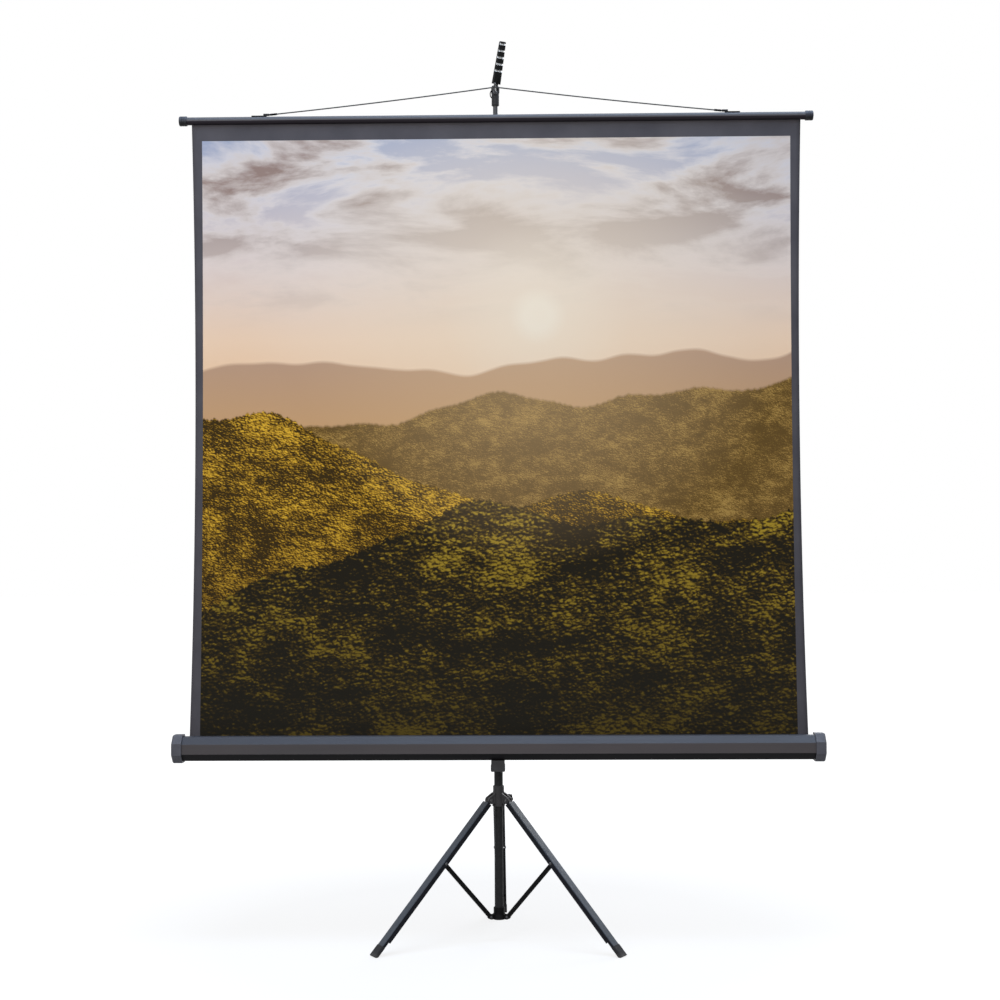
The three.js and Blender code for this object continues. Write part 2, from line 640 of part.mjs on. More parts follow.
function roller() {
  const end = ROLLER_LENGTH / 2;
  const inside = ROLLER_DIA / 2 - ROLLER_WALL - GAP;
  const axle = AXLE_DIA / 2;
  const tip = CASE_LENGTH / 2 - CAP_WALL - 1 - GAP;
  const across = (geometry) => geometry.rotateY(Math.PI / 2);
  const shell = across(tube(ROLLER_DIA, ROLLER_WALL, -end, end));
  const wrap = across(tube(2 * WRAP_RADIUS, WRAP_THICKNESS, -SHEET_WIDTH / 2, SHEET_WIDTH / 2));
  const plug = turnedAlongX([
    [0, -tip], [axle, -tip], [axle, -end - 1], [ROLLER_DIA / 2, -end - 1], [ROLLER_DIA / 2, -end - GAP],
    [inside, -end - GAP], [inside, PLUG_LENGTH - end], [0, PLUG_LENGTH - end],
  ], 24);
  const bore = axle + GAP;
  const bush = turnedAlongX([
    [bore, end - PLUG_LENGTH], [inside, end - PLUG_LENGTH], [inside, end + GAP], [ROLLER_DIA / 2, end + GAP],
    [ROLLER_DIA / 2, end + 1], [bore, end + 1],
  ], 24);
  const start = tip - SPINDLE_LENGTH;
  const spindle = turnedAlongX([[0, start], [axle, start], [axle, tip], [0, tip]], 16);
  const spring = swept(new SpringPath(), SPRING_WIRE, 5, SPRING_STEPS * SPRING_TURNS);
  spring.translate(end - PLUG_LENGTH - SPRING_WIRE, 0, 0);
  const pieces = [
    piece('roller_tube', shell, BRIGHT_STEEL), piece('sheet_wrap', wrap, BLACK_SHEET),
    piece('roller_plug', plug, BLACK_PLASTIC), piece('roller_bush', bush, BLACK_PLASTIC),
    piece('spring_spindle', spindle, BRIGHT_STEEL), piece('roller_spring', spring, BRIGHT_STEEL),
  ];
  const group = new THREE.Group();
  group.position.set(0, CASE_Y, CASE_Z);
  group.add(...pieces);
  return group;
}

// The sheet hangs straight from the slat, and its side edges draw in a little at mid height.
function screenSheet() {
  const half = SHEET_WIDTH / 2;
  const low = CASE_Z + CASE_FLATS / 2;
  const top = SLAT_Z - SLAT_DIA / 2 + SLAT_WALL;
  const middle = (low + top) / 2;
  const outline = new THREE.Shape();
  outline.moveTo(-half, CASE_Z);
  outline.lineTo(half, CASE_Z);
  outline.lineTo(half, low);
  outline.quadraticCurveTo(half - 2 * SHEET_WAIST, middle, half, top);
  outline.lineTo(-half, top);
  outline.quadraticCurveTo(2 * SHEET_WAIST - half, middle, -half, low);
  outline.closePath();
  return piece('screen_sheet', standing(outline, SHEET_THICKNESS, SHEET_Y, 16), MATT_SHEET);
}

// Slat: a round tube with a slot below that holds the sheet's hem on a spline.
function slat() {
  const outer = SLAT_DIA / 2;
  const inner = outer - SLAT_WALL;
  const outerTurn = Math.asin(SLAT_SLOT / 2 / outer);
  const innerTurn = Math.asin(SLAT_SLOT / 2 / inner);
  const down = -Math.PI / 2;
  const outline = new THREE.Shape();
  outline.absarc(0, 0, outer, down + outerTurn, down + 2 * Math.PI - outerTurn, false);
  outline.absarc(0, 0, inner, down + 2 * Math.PI - innerTurn, down + innerTurn, true);
  outline.closePath();
  const end = SLAT_LENGTH / 2 - SLAT_CAP_WALL - GAP;
  const bar = piece('slat_tube', running(outline, -end, end, 14), SATIN_ALUMINIUM);
  const spline = piece('sheet_spline', pin(SPLINE_DIA, SHEET_WIDTH).rotateZ(Math.PI / 2), BRIGHT_STEEL);
  spline.position.z = SPLINE_DIA / 2 + GAP - inner;
  const group = new THREE.Group();
  group.position.set(0, SHEET_Y, SLAT_Z);
  group.add(bar, spline, slatCap('slat_cap_left', -1), slatCap('slat_cap_right', 1));
  group.add(wireClip('wire_clip_left', -1), wireClip('wire_clip_right', 1));
  return group;
}

function slatCap(name, side) {
  const rim = SLAT_CAP_DIA / 2;
  const seat = SLAT_DIA / 2 + GAP;
  const round = SLAT_CAP_ROUND;
  const cup = turnedAlongX([
    [0, 0], [rim - round, 0], [rim - round * (1 - Math.SQRT1_2), round * (1 - Math.SQRT1_2)], [rim, round],
    [rim, SLAT_CAP_LENGTH - 1], [rim - 1, SLAT_CAP_LENGTH], [seat, SLAT_CAP_LENGTH], [seat, SLAT_CAP_WALL],
    [0, SLAT_CAP_WALL],
  ], 20);
  if (side > 0) cup.rotateZ(Math.PI);
  return piece(name, cup.translate((side * SLAT_LENGTH) / 2, 0, 0), BLACK_PLASTIC);
}

// A clip arched over the slat, with a ferrule that takes the end of the hanger wire.
function wireClip(name, side) {
  const outline = new THREE.Shape();
  const up = Math.PI / 2;
  outline.absarc(0, 0, CLIP_RADIUS + CLIP_THICKNESS, up - CLIP_HALF_ARC, up + CLIP_HALF_ARC, false);
  outline.absarc(0, 0, CLIP_RADIUS, up + CLIP_HALF_ARC, up - CLIP_HALF_ARC, true);
  outline.closePath();
  const arch = running(outline, CLIP_X - CLIP_LENGTH / 2, CLIP_X + CLIP_LENGTH / 2, 8);
  const radius = FERRULE_DIA / 2;
  const from = FERRULE_X;
  const to = FERRULE_X + FERRULE_LENGTH;
  const profile = [[0, from], [radius - 1, from], [radius, from + 1], [radius, to], [0, to]];
  const ferrule = turnedAlongX(profile, 16);
  ferrule.translate(0, 0, FERRULE_Z - SLAT_Z);
  const whole = joined(arch, ferrule);
  if (side < 0) whole.rotateZ(Math.PI);
  return piece(name, whole, BLACK_STEEL);
}

// The hanger wire runs from clip to clip over the hook. The left half mirrors the right.
function wirePoints() {
  const end = FERRULE_X - GAP;
  const falling = WIRE_SHARES.map((share) => {
    const sag = 4 * share * (1 - share) * WIRE_SAG;
    return [share * end, WIRE_TOP - share * WIRE_RISE - sag];
  });
  const right = [[WIRE_CREST, WIRE_TOP], ...falling];
  const left = right.map(([x, z]) => [-x, z]).reverse();
  return [...left, ...right].map(([x, z]) => new THREE.Vector3(x, SHEET_Y, z));
}

function hangerWire() {
  const path = new THREE.CatmullRomCurve3(wirePoints());
  return piece('hanger_wire', swept(path, WIRE_DIA, 8, 44), BLACK_STEEL);
}

function hangerHook() {
  const start = -HEAD_DIA / 2 - GAP;
  const bend = SHEET_Y - HOOK_DIA;
  const path = new THREE.CurvePath();
  path.add(new THREE.LineCurve3(new THREE.Vector3(0, start, HOOK_Z), new THREE.Vector3(0, bend, HOOK_Z)));
  path.add(new THREE.QuadraticBezierCurve3(
    new THREE.Vector3(0, bend, HOOK_Z),
    new THREE.Vector3(0, bend - HOOK_BEND, HOOK_Z),
    new THREE.Vector3(0, bend - HOOK_BEND, HOOK_Z + HOOK_BEND),
  ));
  return piece('hanger_hook', swept(path, HOOK_DIA, 8, 14), BRIGHT_STEEL);
}

// Extension rod, its guide bush and the head on its top
function extensionRod() {
  const rod = piece('extension_rod', tube(ROD_DIA, ROD_WALL, ROD_BOTTOM, ROD_TOP), BLACK_STEEL);
  const inner = ROD_DIA / 2 + GAP;
  const outer = POST_DIA / 2 - POST_WALL - GAP;
  const top = ROD_BOTTOM + BUSH_LENGTH;
  const bush = turned([[inner, ROD_BOTTOM], [outer, ROD_BOTTOM], [outer, top], [inner, top]], 24);
  return [rod, piece('rod_bush', bush, BLACK_PLASTIC)];
}

function forkOutline(bottom) {
  const outline = new THREE.Shape();
  outline.moveTo(-FORK_ROUND, bottom);
  outline.lineTo(FORK_ROUND, bottom);
  outline.absarc(0, 0, FORK_ROUND, 0, Math.PI, false);
  outline.closePath();
  roundHole(outline, 0, 0, ARM_PIN_DIA / 2 + GAP);
  return outline;
}

function rodHead() {
  const radius = HEAD_DIA / 2;
  const bore = ROD_DIA / 2 + GAP;
  const top = HEAD_BOTTOM + HEAD_HEIGHT;
  const socketTop = HEAD_BOTTOM + HEAD_SOCKET;
  const body = turned([
    [0, socketTop], [bore, socketTop], [bore, HEAD_BOTTOM], [radius - 1, HEAD_BOTTOM],
    [radius, HEAD_BOTTOM + 1], [radius, top - 2], [radius - 2, top], [0, top],
  ], 24);
  const ears = [-1, 1].map((side) => {
    const middle = side * (ARM_TONGUE / 2 + GAP + FORK_EAR / 2);
    const ear = running(forkOutline(-ARM_PIVOT_RISE - 3), middle - FORK_EAR / 2, middle + FORK_EAR / 2);
    return ear.translate(0, 0, ARM_PIVOT_Z).rotateZ(ARM_TURN);
  });
  return piece('rod_head', joined(body, ...ears), BLACK_PLASTIC);
}

// Keystone arm: a tapered bar whose notches take the wire further forward.
function keystoneArm() {
  const tongue = running(forkOutline(-FORK_ROUND / 2), -ARM_TONGUE / 2, ARM_TONGUE / 2);
  const neck = box(ARM_TONGUE, ARM_DEPTH, ARM_START, 0, 0, ARM_START / 2 + FORK_ROUND / 2);
  const base = ARM_BASE_WIDTH / 2;
  const tip = ARM_TIP_WIDTH / 2;
  const outline = new THREE.Shape();
  outline.moveTo(-base, ARM_START);
  outline.lineTo(base, ARM_START);
  outline.lineTo(tip, ARM_LENGTH - 2);
  outline.lineTo(tip - 2, ARM_LENGTH);
  outline.lineTo(2 - tip, ARM_LENGTH);
  outline.lineTo(-tip, ARM_LENGTH - 2);
  const bar = standing(outline, ARM_DEPTH);
  const notches = Array.from({ length: NOTCH_COUNT }, (_, i) => {
    const height = ARM_LENGTH - NOTCH_FROM_TIP - i * NOTCH_PITCH;
    const notch = box(2 * ARM_BASE_WIDTH, 2 * NOTCH_DEPTH, NOTCH_HEIGHT, 0, 0, 0).rotateX(NOTCH_SLOPE);
    return notch.translate(0, -ARM_DEPTH / 2, height);
  });
  return cut(joined(tongue, neck, bar), ...notches);
}

function topArm() {
  const arm = piece('keystone_arm', keystoneArm(), BLACK_PLASTIC);
  arm.rotation.x = ARM_LEAN;
  const length = ARM_TONGUE + 2 * (GAP + FORK_EAR);
  const group = new THREE.Group();
  group.position.z = ARM_PIVOT_Z;
  group.rotation.z = ARM_TURN;
  group.add(arm, piece('arm_pin', pin(ARM_PIN_DIA, length).rotateZ(Math.PI / 2), BRIGHT_STEEL));
  return group;
}

const screen = new THREE.Group();
screen.add(postTube(), braceRing(), ...postCollar(), ...hub(), legs());
screen.add(caseShell(), caseCap('case_cap_left', -1), caseCap('case_cap_right', 1));
screen.add(...caseMount(), latchBlock(), roller(), screenSheet());
screen.add(slat(), hangerWire(), hangerHook(), ...extensionRod(), rodHead(), topArm());

// Put the origin at the middle of the box, on the floor.
const extent = new THREE.Box3().setFromObject(screen);
screen.position.y = -(extent.min.y + extent.max.y) / 2;

export default screen;
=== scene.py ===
import json
import math

import bmesh
import bpy
from mathutils import Matrix, Vector

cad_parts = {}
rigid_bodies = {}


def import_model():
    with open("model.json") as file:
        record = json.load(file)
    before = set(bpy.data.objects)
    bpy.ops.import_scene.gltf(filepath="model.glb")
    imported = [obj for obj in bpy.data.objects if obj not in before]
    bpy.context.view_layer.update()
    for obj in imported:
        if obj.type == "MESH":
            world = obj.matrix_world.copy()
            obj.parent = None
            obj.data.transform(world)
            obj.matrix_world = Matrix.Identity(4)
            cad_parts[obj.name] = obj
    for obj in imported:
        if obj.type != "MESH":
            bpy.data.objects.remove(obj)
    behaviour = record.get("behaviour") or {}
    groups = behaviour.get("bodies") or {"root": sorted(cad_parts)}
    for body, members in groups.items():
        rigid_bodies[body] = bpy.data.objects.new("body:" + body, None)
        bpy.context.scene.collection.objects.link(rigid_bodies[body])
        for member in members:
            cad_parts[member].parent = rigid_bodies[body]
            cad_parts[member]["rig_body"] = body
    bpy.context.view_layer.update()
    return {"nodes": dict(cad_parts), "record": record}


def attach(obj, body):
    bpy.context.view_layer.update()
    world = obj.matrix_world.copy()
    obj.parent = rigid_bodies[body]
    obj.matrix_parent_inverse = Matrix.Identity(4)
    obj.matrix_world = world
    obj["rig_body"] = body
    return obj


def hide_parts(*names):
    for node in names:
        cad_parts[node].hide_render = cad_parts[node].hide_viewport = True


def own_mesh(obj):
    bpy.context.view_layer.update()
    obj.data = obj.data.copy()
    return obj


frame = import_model()
NODES = frame["nodes"]
SLOT_OF = {part["node"]: part["material_slot"] for part in frame["record"]["subparts"]}

# Sizes shared with the part, in metres
POST_Y = -0.08146
SHEET_Y = POST_Y - 0.0415
CASE_Y = POST_Y - 0.062
CASE_Z = 0.491
HUB_PIVOT_Z = 0.353759
RING_PIVOT_Z = 0.062
PIVOT_RADIUS = 0.025
RING_PIVOT_RADIUS = 0.025
LEG_WIDTH = 0.029
SLAT_Z = 2.086
SLAT_HALF = 0.809
CASE_HALF = 0.813
ARM_PIVOT_Z = 2.175
ARM_LENGTH = 0.119
ARM_TURN = math.radians(30)
ARM_LEAN = math.radians(20)
LEG_LEAN = math.radians(42)
LEG_TURNS = [math.radians(90 + 120 * i) for i in range(3)]
LINK = 0.1963


# Camera and studio

def look_from_the_front():
    """The photograph's view: nearly straight on, a little from the right, looking slightly upwards."""
    lens = bpy.data.cameras.new("photo_view")
    lens.sensor_width = 36
    lens.lens = 59.29
    lens.shift_x = 0.0028
    camera = bpy.data.objects.new("photo_view", lens)
    bpy.context.scene.collection.objects.link(camera)
    round_the_post = Matrix.Translation((0, POST_Y, 0)) @ Matrix.Rotation(math.radians(1.0), 4, "Z")
    tilt = Matrix.Rotation(math.radians(92.48), 4, "X") @ Matrix.Rotation(math.radians(-0.27), 4, "Z")
    camera.matrix_world = round_the_post @ Matrix.Translation((0, -4.20, 0.931)) @ tilt
    bpy.context.scene.camera = camera


look_from_the_front()


def soft_lamp(name, place, aim, size, watts, colour):
    lamp = bpy.data.lights.new(name, "AREA")
    lamp.shape = "RECTANGLE"
    lamp.size, lamp.size_y = size
    lamp.energy = watts
    lamp.color = colour
    holder = bpy.data.objects.new(name, lamp)
    holder.location = place
    holder.rotation_euler = (Vector(aim) - Vector(place)).to_track_quat("-Z", "Y").to_euler()
    bpy.context.scene.collection.objects.link(holder)


# Ways to join nodes

def add(tree, kind, values=None, **settings):
    made = tree.nodes.new(kind)
    for name, value in settings.items():
        setattr(made, name, value)
    for socket, value in (values or {}).items():
        made.inputs[socket].default_value = value
    return made


def wire(tree, start, end):
    tree.links.new(start, end)


def sums(tree, operation, first, second):
    made = add(tree, "ShaderNodeMath", operation=operation)
    for socket, value in zip(made.inputs, (first, second)):
        if isinstance(value, (int, float)):
            socket.default_value = value
        else:
            wire(tree, value, socket)
    return made.outputs[0]


def ramp(tree, value, stops):
    made = add(tree, "ShaderNodeValToRGB")
    made.color_ramp.elements[0].position, made.color_ramp.elements[0].color = stops[0][0], (*stops[0][1], 1)
    made.color_ramp.elements[1].position, made.color_ramp.elements[1].color = stops[-1][0], (*stops[-1][1], 1)
    for place, colour in stops[1:-1]:
        made.color_ramp.elements.new(place).color = (*colour, 1)
    wire(tree, value, made.inputs["Fac"])
    return made.outputs["Color"]


def stretch(tree, value, low, high, to_low=0.0, to_high=1.0):
    made = add(tree, "ShaderNodeMapRange", {1: low, 2: high, 3: to_low, 4: to_high})
    wire(tree, value, made.inputs[0])
    return made.outputs[0]


def blended(tree, share, under, over):
    made = add(tree, "ShaderNodeMix", data_type="RGBA")
    wire(tree, share, made.inputs["Factor"])
    for socket, value in ((made.inputs[6], under), (made.inputs[7], over)):
        if isinstance(value, tuple):
            socket.default_value = (*value, 1)
        else:
            wire(tree, value, socket)
    return made.outputs[2]


def studio():
    scene = bpy.context.scene
    scene.view_settings.view_transform = "Standard"
    world = bpy.data.worlds.new("studio_room")
    scene.world = world
    world.use_nodes = True
    tree = world.node_tree
    tree.nodes.clear()
    rays = add(tree, "ShaderNodeLightPath")
    seen = sums(tree, "MAXIMUM", rays.outputs["Is Camera Ray"], rays.outputs["Is Glossy Ray"])
    seen = sums(tree, "MAXIMUM", seen, rays.outputs["Is Transmission Ray"])
    room = add(tree, "ShaderNodeBackground", {"Color": (0.93, 0.95, 1.0, 1), "Strength": 0.42})
    white = add(tree, "ShaderNodeBackground", {"Color": (1, 1, 1, 1), "Strength": 1.0})
    either = add(tree, "ShaderNodeMixShader")
    wire(tree, seen, either.inputs[0])
    wire(tree, room.outputs[0], either.inputs[1])
    wire(tree, white.outputs[0], either.inputs[2])
    wire(tree, either.outputs[0], add(tree, "ShaderNodeOutputWorld").inputs["Surface"])

    shape = bmesh.new()
    bmesh.ops.create_grid(shape, x_segments=1, y_segments=1, size=40)
    bmesh.ops.translate(shape, verts=shape.verts, vec=(0, 20, -0.0006))
    mesh = bpy.data.meshes.new("studio_floor")
    shape.to_mesh(mesh)
    shape.free()
    floor = bpy.data.objects.new("studio_floor", mesh)
    scene.collection.objects.link(floor)
    paper = bpy.data.materials.new("pale_floor")
    paper.use_nodes = True
    tree = paper.node_tree
    tree.nodes.clear()
    rays = add(tree, "ShaderNodeLightPath")
    seen = sums(tree, "MAXIMUM", rays.outputs["Is Camera Ray"], rays.outputs["Is Glossy Ray"])
    seen = sums(tree, "MAXIMUM", seen, rays.outputs["Is Transmission Ray"])
    glow = add(tree, "ShaderNodeEmission", {"Color": (1, 1, 1, 1)})
    where = add(tree, "ShaderNodeTexCoord")
    reach = add(tree, "ShaderNodeVectorMath", operation="LENGTH")
    wire(tree, where.outputs["Object"], reach.inputs[0])
    strength = stretch(tree, reach.outputs["Value"], 0.7, 2.4, 0.78, 1.0)
    wire(tree, sums(tree, "MULTIPLY", seen, strength), glow.inputs["Strength"])
    matt = add(tree, "ShaderNodeBsdfDiffuse", {"Color": (0.21, 0.21, 0.21, 1)})
    both = add(tree, "ShaderNodeAddShader")
    wire(tree, glow.outputs[0], both.inputs[0])
    wire(tree, matt.outputs[0], both.inputs[1])
    wire(tree, both.outputs[0], add(tree, "ShaderNodeOutputMaterial").inputs["Surface"])
    mesh.materials.append(paper)

    soft_lamp("front_panel", (-1.6, -4.6, 2.6), (0, 0, 1.1), (3.0, 2.4), 92, (1.0, 0.97, 0.94))
    soft_lamp("sky_panel", (0.3, -0.85, 4.2), (0, -0.2, 0.6), (4.0, 1.7), 125, (0.62, 0.78, 1.0))
    soft_lamp("back_panel", (1.8, 3.4, 2.6), (0, 0, 1.0), (2.6, 2.2), 70, (0.95, 0.97, 1.0))


studio()


# Finishes

def new_finish(name):
    finish = bpy.data.materials.new(name)
    finish.use_nodes = True
    tree = finish.node_tree
    tree.nodes.clear()
    shader = add(tree, "ShaderNodeBsdfPrincipled")
    wire(tree, shader.outputs[0], add(tree, "ShaderNodeOutputMaterial").inputs["Surface"])
    return finish, tree, shader


def in_place(tree, scale=(1, 1, 1)):
    where = add(tree, "ShaderNodeTexCoord")
    turn = add(tree, "ShaderNodeMapping", {"Scale": scale})
    wire(tree, where.outputs["Object"], turn.inputs["Vector"])
    return turn.outputs[0]


def speckle(tree, place, scale, detail=3.0, roughness=0.55):
    made = add(tree, "ShaderNodeTexNoise", {"Scale": scale, "Detail": detail, "Roughness": roughness})
    wire(tree, place, made.inputs["Vector"])
    return made.outputs["Fac"]


def raised(tree, shader, height, depth, strength=1.0):
    made = add(tree, "ShaderNodeBump", {"Strength": strength, "Distance": depth})
    wire(tree, height, made.inputs["Height"])
    wire(tree, made.outputs[0], shader.inputs["Normal"])


def rubbed_edges(tree, low=0.52, high=0.6):
    shape = add(tree, "ShaderNodeNewGeometry")
    return stretch(tree, shape.outputs["Pointiness"], low, high)


def painted_steel(name, dark, light, rub, gloss, shine):
    """Sprayed paint: slow drift in tone, an orange-peel skin and corners rubbed paler."""
    finish, tree, shader = new_finish(name)
    place = in_place(tree)
    tone = ramp(tree, speckle(tree, place, 22, 5), [(0.32, dark), (0.72, light)])
    fine_dust = stretch(tree, speckle(tree, place, 420, 2), 0.66, 0.78)
    tone = blended(tree, sums(tree, "MULTIPLY", fine_dust, 0.25), tone, rub)
    worn = sums(tree, "MULTIPLY", rubbed_edges(tree), speckle(tree, place, 140, 3))
    wire(tree, blended(tree, worn, tone, rub), shader.inputs["Base Color"])
    wire(tree, stretch(tree, speckle(tree, place, 60, 3), 0.3, 0.7, gloss - 0.05, gloss + 0.08), shader.inputs["Roughness"])
    raised(tree, shader, speckle(tree, place, 900, 2), 0.00006, 0.5)
    shader.inputs["Specular IOR Level"].default_value = shine
    return finish


def anodised_with_painted_light(name, shade_line, top_light_line, painted_shade_tone):
    """Dark anodised aluminium, warm grey in front, with painted light in bands by height: a blue grey on its upper
    facets stands for cool light from above, and black underneath is painted shade.

    Fine die lines run along its length, with faint cloudy patches and paler corners.
    """
    finish, tree, shader = new_finish(name)
    lines = speckle(tree, in_place(tree, (2.0, 700, 700)), 1.0, 3, 0.6)
    patches = speckle(tree, in_place(tree, (2.2, 9, 9)), 1.0, 4)
    front = ramp(tree, patches, [(0.3, (0.054, 0.047, 0.048)), (0.5, (0.068, 0.057, 0.057)), (0.74, (0.084, 0.070, 0.069))])
    # Painted top light: a bluer grey for the upper facets, standing for cool light from above
    painted_top_light = ramp(tree, patches, [(0.3, (0.034, 0.037, 0.050)), (0.74, (0.052, 0.055, 0.068))])
    # Painted shade: a near-black tone for the underside
    under = ramp(tree, patches, [(0.3, painted_shade_tone), (0.74, tuple(1.5 * part for part in painted_shade_tone))])
    split = add(tree, "ShaderNodeSeparateXYZ")
    wire(tree, in_place(tree), split.inputs[0])
    height = split.outputs["Z"]
    # Painted top light above the upper line
    tone = blended(tree, stretch(tree, height, top_light_line - 0.0006, top_light_line + 0.0006), front, painted_top_light)
    tone = blended(tree, stretch(tree, lines, 0.5, 0.9, 0, 0.3), tone, (0.086, 0.083, 0.088))
    tone = blended(tree, sums(tree, "MULTIPLY", rubbed_edges(tree), 0.5), tone, (0.12, 0.12, 0.13))
    # Painted shade below the lower line
    tone = blended(tree, stretch(tree, height, shade_line + 0.0006, shade_line - 0.0006), tone, under)
    wire(tree, tone, shader.inputs["Base Color"])
    wire(tree, stretch(tree, lines, 0.25, 0.75, 0.34, 0.5), shader.inputs["Roughness"])
    raised(tree, shader, lines, 0.00005, 0.35)
    wire(tree, stretch(tree, height, shade_line - 0.0006, shade_line + 0.0006, 0.05, 0.2), shader.inputs["Specular IOR Level"])
    return finish


def moulded_plastic(name, dark, light, gloss, grain, shade=None):
    """Black moulding with a spark-eroded grain, pale scuffs and smoother rubbed corners, with optional painted shade
    darker below a given height.
    """
    finish, tree, shader = new_finish(name)
    place = in_place(tree)
    tone = ramp(tree, speckle(tree, place, 70, 5), [(0.3, dark), (0.75, light)])
    scuffs = stretch(tree, speckle(tree, in_place(tree, (1, 1, 0.25)), 380, 4, 0.7), 0.66, 0.8, 0, 0.4)
    pale = (light[0] * 2.1, light[1] * 2.1, light[2] * 2.1)
    tone = blended(tree, scuffs, tone, pale)
    tone = blended(tree, sums(tree, "MULTIPLY", rubbed_edges(tree), 0.45), tone, pale)
    # Painted shade: near black towards the bottom, between the two given heights
    if shade:
        split = add(tree, "ShaderNodeSeparateXYZ")
        wire(tree, place, split.inputs[0])
        tone = blended(tree, stretch(tree, split.outputs["Z"], *shade), tone, (0.006, 0.006, 0.007))
    wire(tree, tone, shader.inputs["Base Color"])
    wire(tree, stretch(tree, speckle(tree, place, 240, 3), 0.3, 0.7, gloss - 0.06, gloss + 0.08), shader.inputs["Roughness"])
    cells = add(tree, "ShaderNodeTexVoronoi", {"Scale": grain})
    wire(tree, place, cells.inputs["Vector"])
    raised(tree, shader, cells.outputs["Distance"], 0.00008, 0.45)
    shader.inputs["Specular IOR Level"].default_value = 0.2
    return finish


def dull_rubber():
    """Moulded rubber: chalky bloom in patches, dust near the floor and a pitted skin."""
    finish, tree, shader = new_finish("dull_rubber")
    where = add(tree, "ShaderNodeTexCoord")
    place = where.outputs["Object"]
    bloom = speckle(tree, place, 130, 5, 0.65)
    tone = ramp(tree, bloom, [(0.3, (0.014, 0.014, 0.015)), (0.62, (0.026, 0.026, 0.028)), (0.85, (0.055, 0.054, 0.054))])
    split = add(tree, "ShaderNodeSeparateXYZ")
    wire(tree, place, split.inputs[0])
    dust = sums(tree, "MULTIPLY", stretch(tree, split.outputs["Z"], 0.012, 0.0, 0, 0.7), speckle(tree, place, 500, 3))
    wire(tree, blended(tree, dust, tone, (0.16, 0.15, 0.14)), shader.inputs["Base Color"])
    wire(tree, stretch(tree, bloom, 0.3, 0.8, 0.72, 0.92), shader.inputs["Roughness"])
    raised(tree, shader, speckle(tree, place, 1500, 2), 0.00012, 0.6)
    shader.inputs["Specular IOR Level"].default_value = 0.25
    return finish


def zinc_steel():
    """Zinc-plated steel: cloudy crystal patches and fine drawing marks."""
    finish, tree, shader = new_finish("zinc_steel")
    place = in_place(tree)
    cells = add(tree, "ShaderNodeTexVoronoi", {"Scale": 260.0})
    wire(tree, place, cells.inputs["Vector"])
    cloud = speckle(tree, place, 180, 4)
    tone = ramp(tree, cloud, [(0.3, (0.42, 0.43, 0.45)), (0.7, (0.66, 0.66, 0.67))])
    wire(tree, blended(tree, stretch(tree, cells.outputs["Distance"], 0.2, 0.9, 0, 0.3), tone, (0.5, 0.5, 0.47)), shader.inputs["Base Color"])
    wire(tree, stretch(tree, cloud, 0.3, 0.7, 0.26, 0.44), shader.inputs["Roughness"])
    raised(tree, shader, speckle(tree, place, 1200, 2), 0.00004, 0.5)
    shader.inputs["Metallic"].default_value = 1.0
    return finish


def notch_white():
    """White in the arm's notches, a little chipped and grey with handling."""
    finish, tree, shader = new_finish("notch_white")
    place = in_place(tree)
    tone = ramp(tree, speckle(tree, place, 260, 4), [(0.25, (0.7, 0.7, 0.68)), (0.5, (0.86, 0.86, 0.85)), (0.8, (0.92, 0.92, 0.91))])
    chips = stretch(tree, speckle(tree, place, 620, 3), 0.72, 0.78, 0, 0.8)
    wire(tree, blended(tree, chips, tone, (0.05, 0.05, 0.05)), shader.inputs["Base Color"])
    wire(tree, stretch(tree, speckle(tree, place, 400, 2), 0.3, 0.7, 0.45, 0.6), shader.inputs["Roughness"])
    raised(tree, shader, chips, -0.00006, 0.6)
    return finish


def weave(tree, place, threads):
    """Over-and-under threads as a height, from two sets of bands."""
    heights = []
    for direction in ("X", "Y"):
        bands = add(tree, "ShaderNodeTexWave", {"Scale": threads, "Distortion": 0.4, "Detail": 1.0}, bands_direction=direction)
        wire(tree, place, bands.inputs["Vector"])
        heights.append(bands.outputs["Fac"])
    return sums(tree, "MAXIMUM", *heights)


def sheet_parts(tree):
    where = add(tree, "ShaderNodeTexCoord")
    split = add(tree, "ShaderNodeSeparateXYZ")
    wire(tree, where.outputs["UV"], split.inputs[0])
    return where.outputs["UV"], split.outputs["X"], split.outputs["Y"]


def rolling(tree, across, scale, shift, detail=2.0):
    """A hill line: a slow wander along the picture, from about -0.5 to 0.5."""
    made = add(tree, "ShaderNodeTexNoise", {"Scale": scale, "Detail": detail}, noise_dimensions="1D")
    wire(tree, sums(tree, "ADD", across, shift), made.inputs["W"])
    return sums(tree, "SUBTRACT", made.outputs["Fac"], 0.5)


def hill(tree, across, up, base, slope, swing, scale, shift, ragged, soft):
    line = sums(tree, "MULTIPLY", rolling(tree, across, scale, shift), swing)
    line = sums(tree, "ADD", line, sums(tree, "MULTIPLY", across, slope))
    line = sums(tree, "ADD", line, base)
    if ragged:
        line = sums(tree, "ADD", line, sums(tree, "MULTIPLY", rolling(tree, across, 110, shift, 4), ragged))
    depth = sums(tree, "SUBTRACT", line, up)
    return stretch(tree, depth, 0.0, soft), depth


def ground(tree, across, up, slope):
    """Places on a hillside, drawn in height as far slopes look."""
    level = sums(tree, "ADD", up, sums(tree, "MULTIPLY", across, slope))
    spot = add(tree, "ShaderNodeCombineXYZ")
    wire(tree, across, spot.inputs["X"])
    wire(tree, sums(tree, "MULTIPLY", level, 1.45), spot.inputs["Y"])
    return spot.outputs[0]


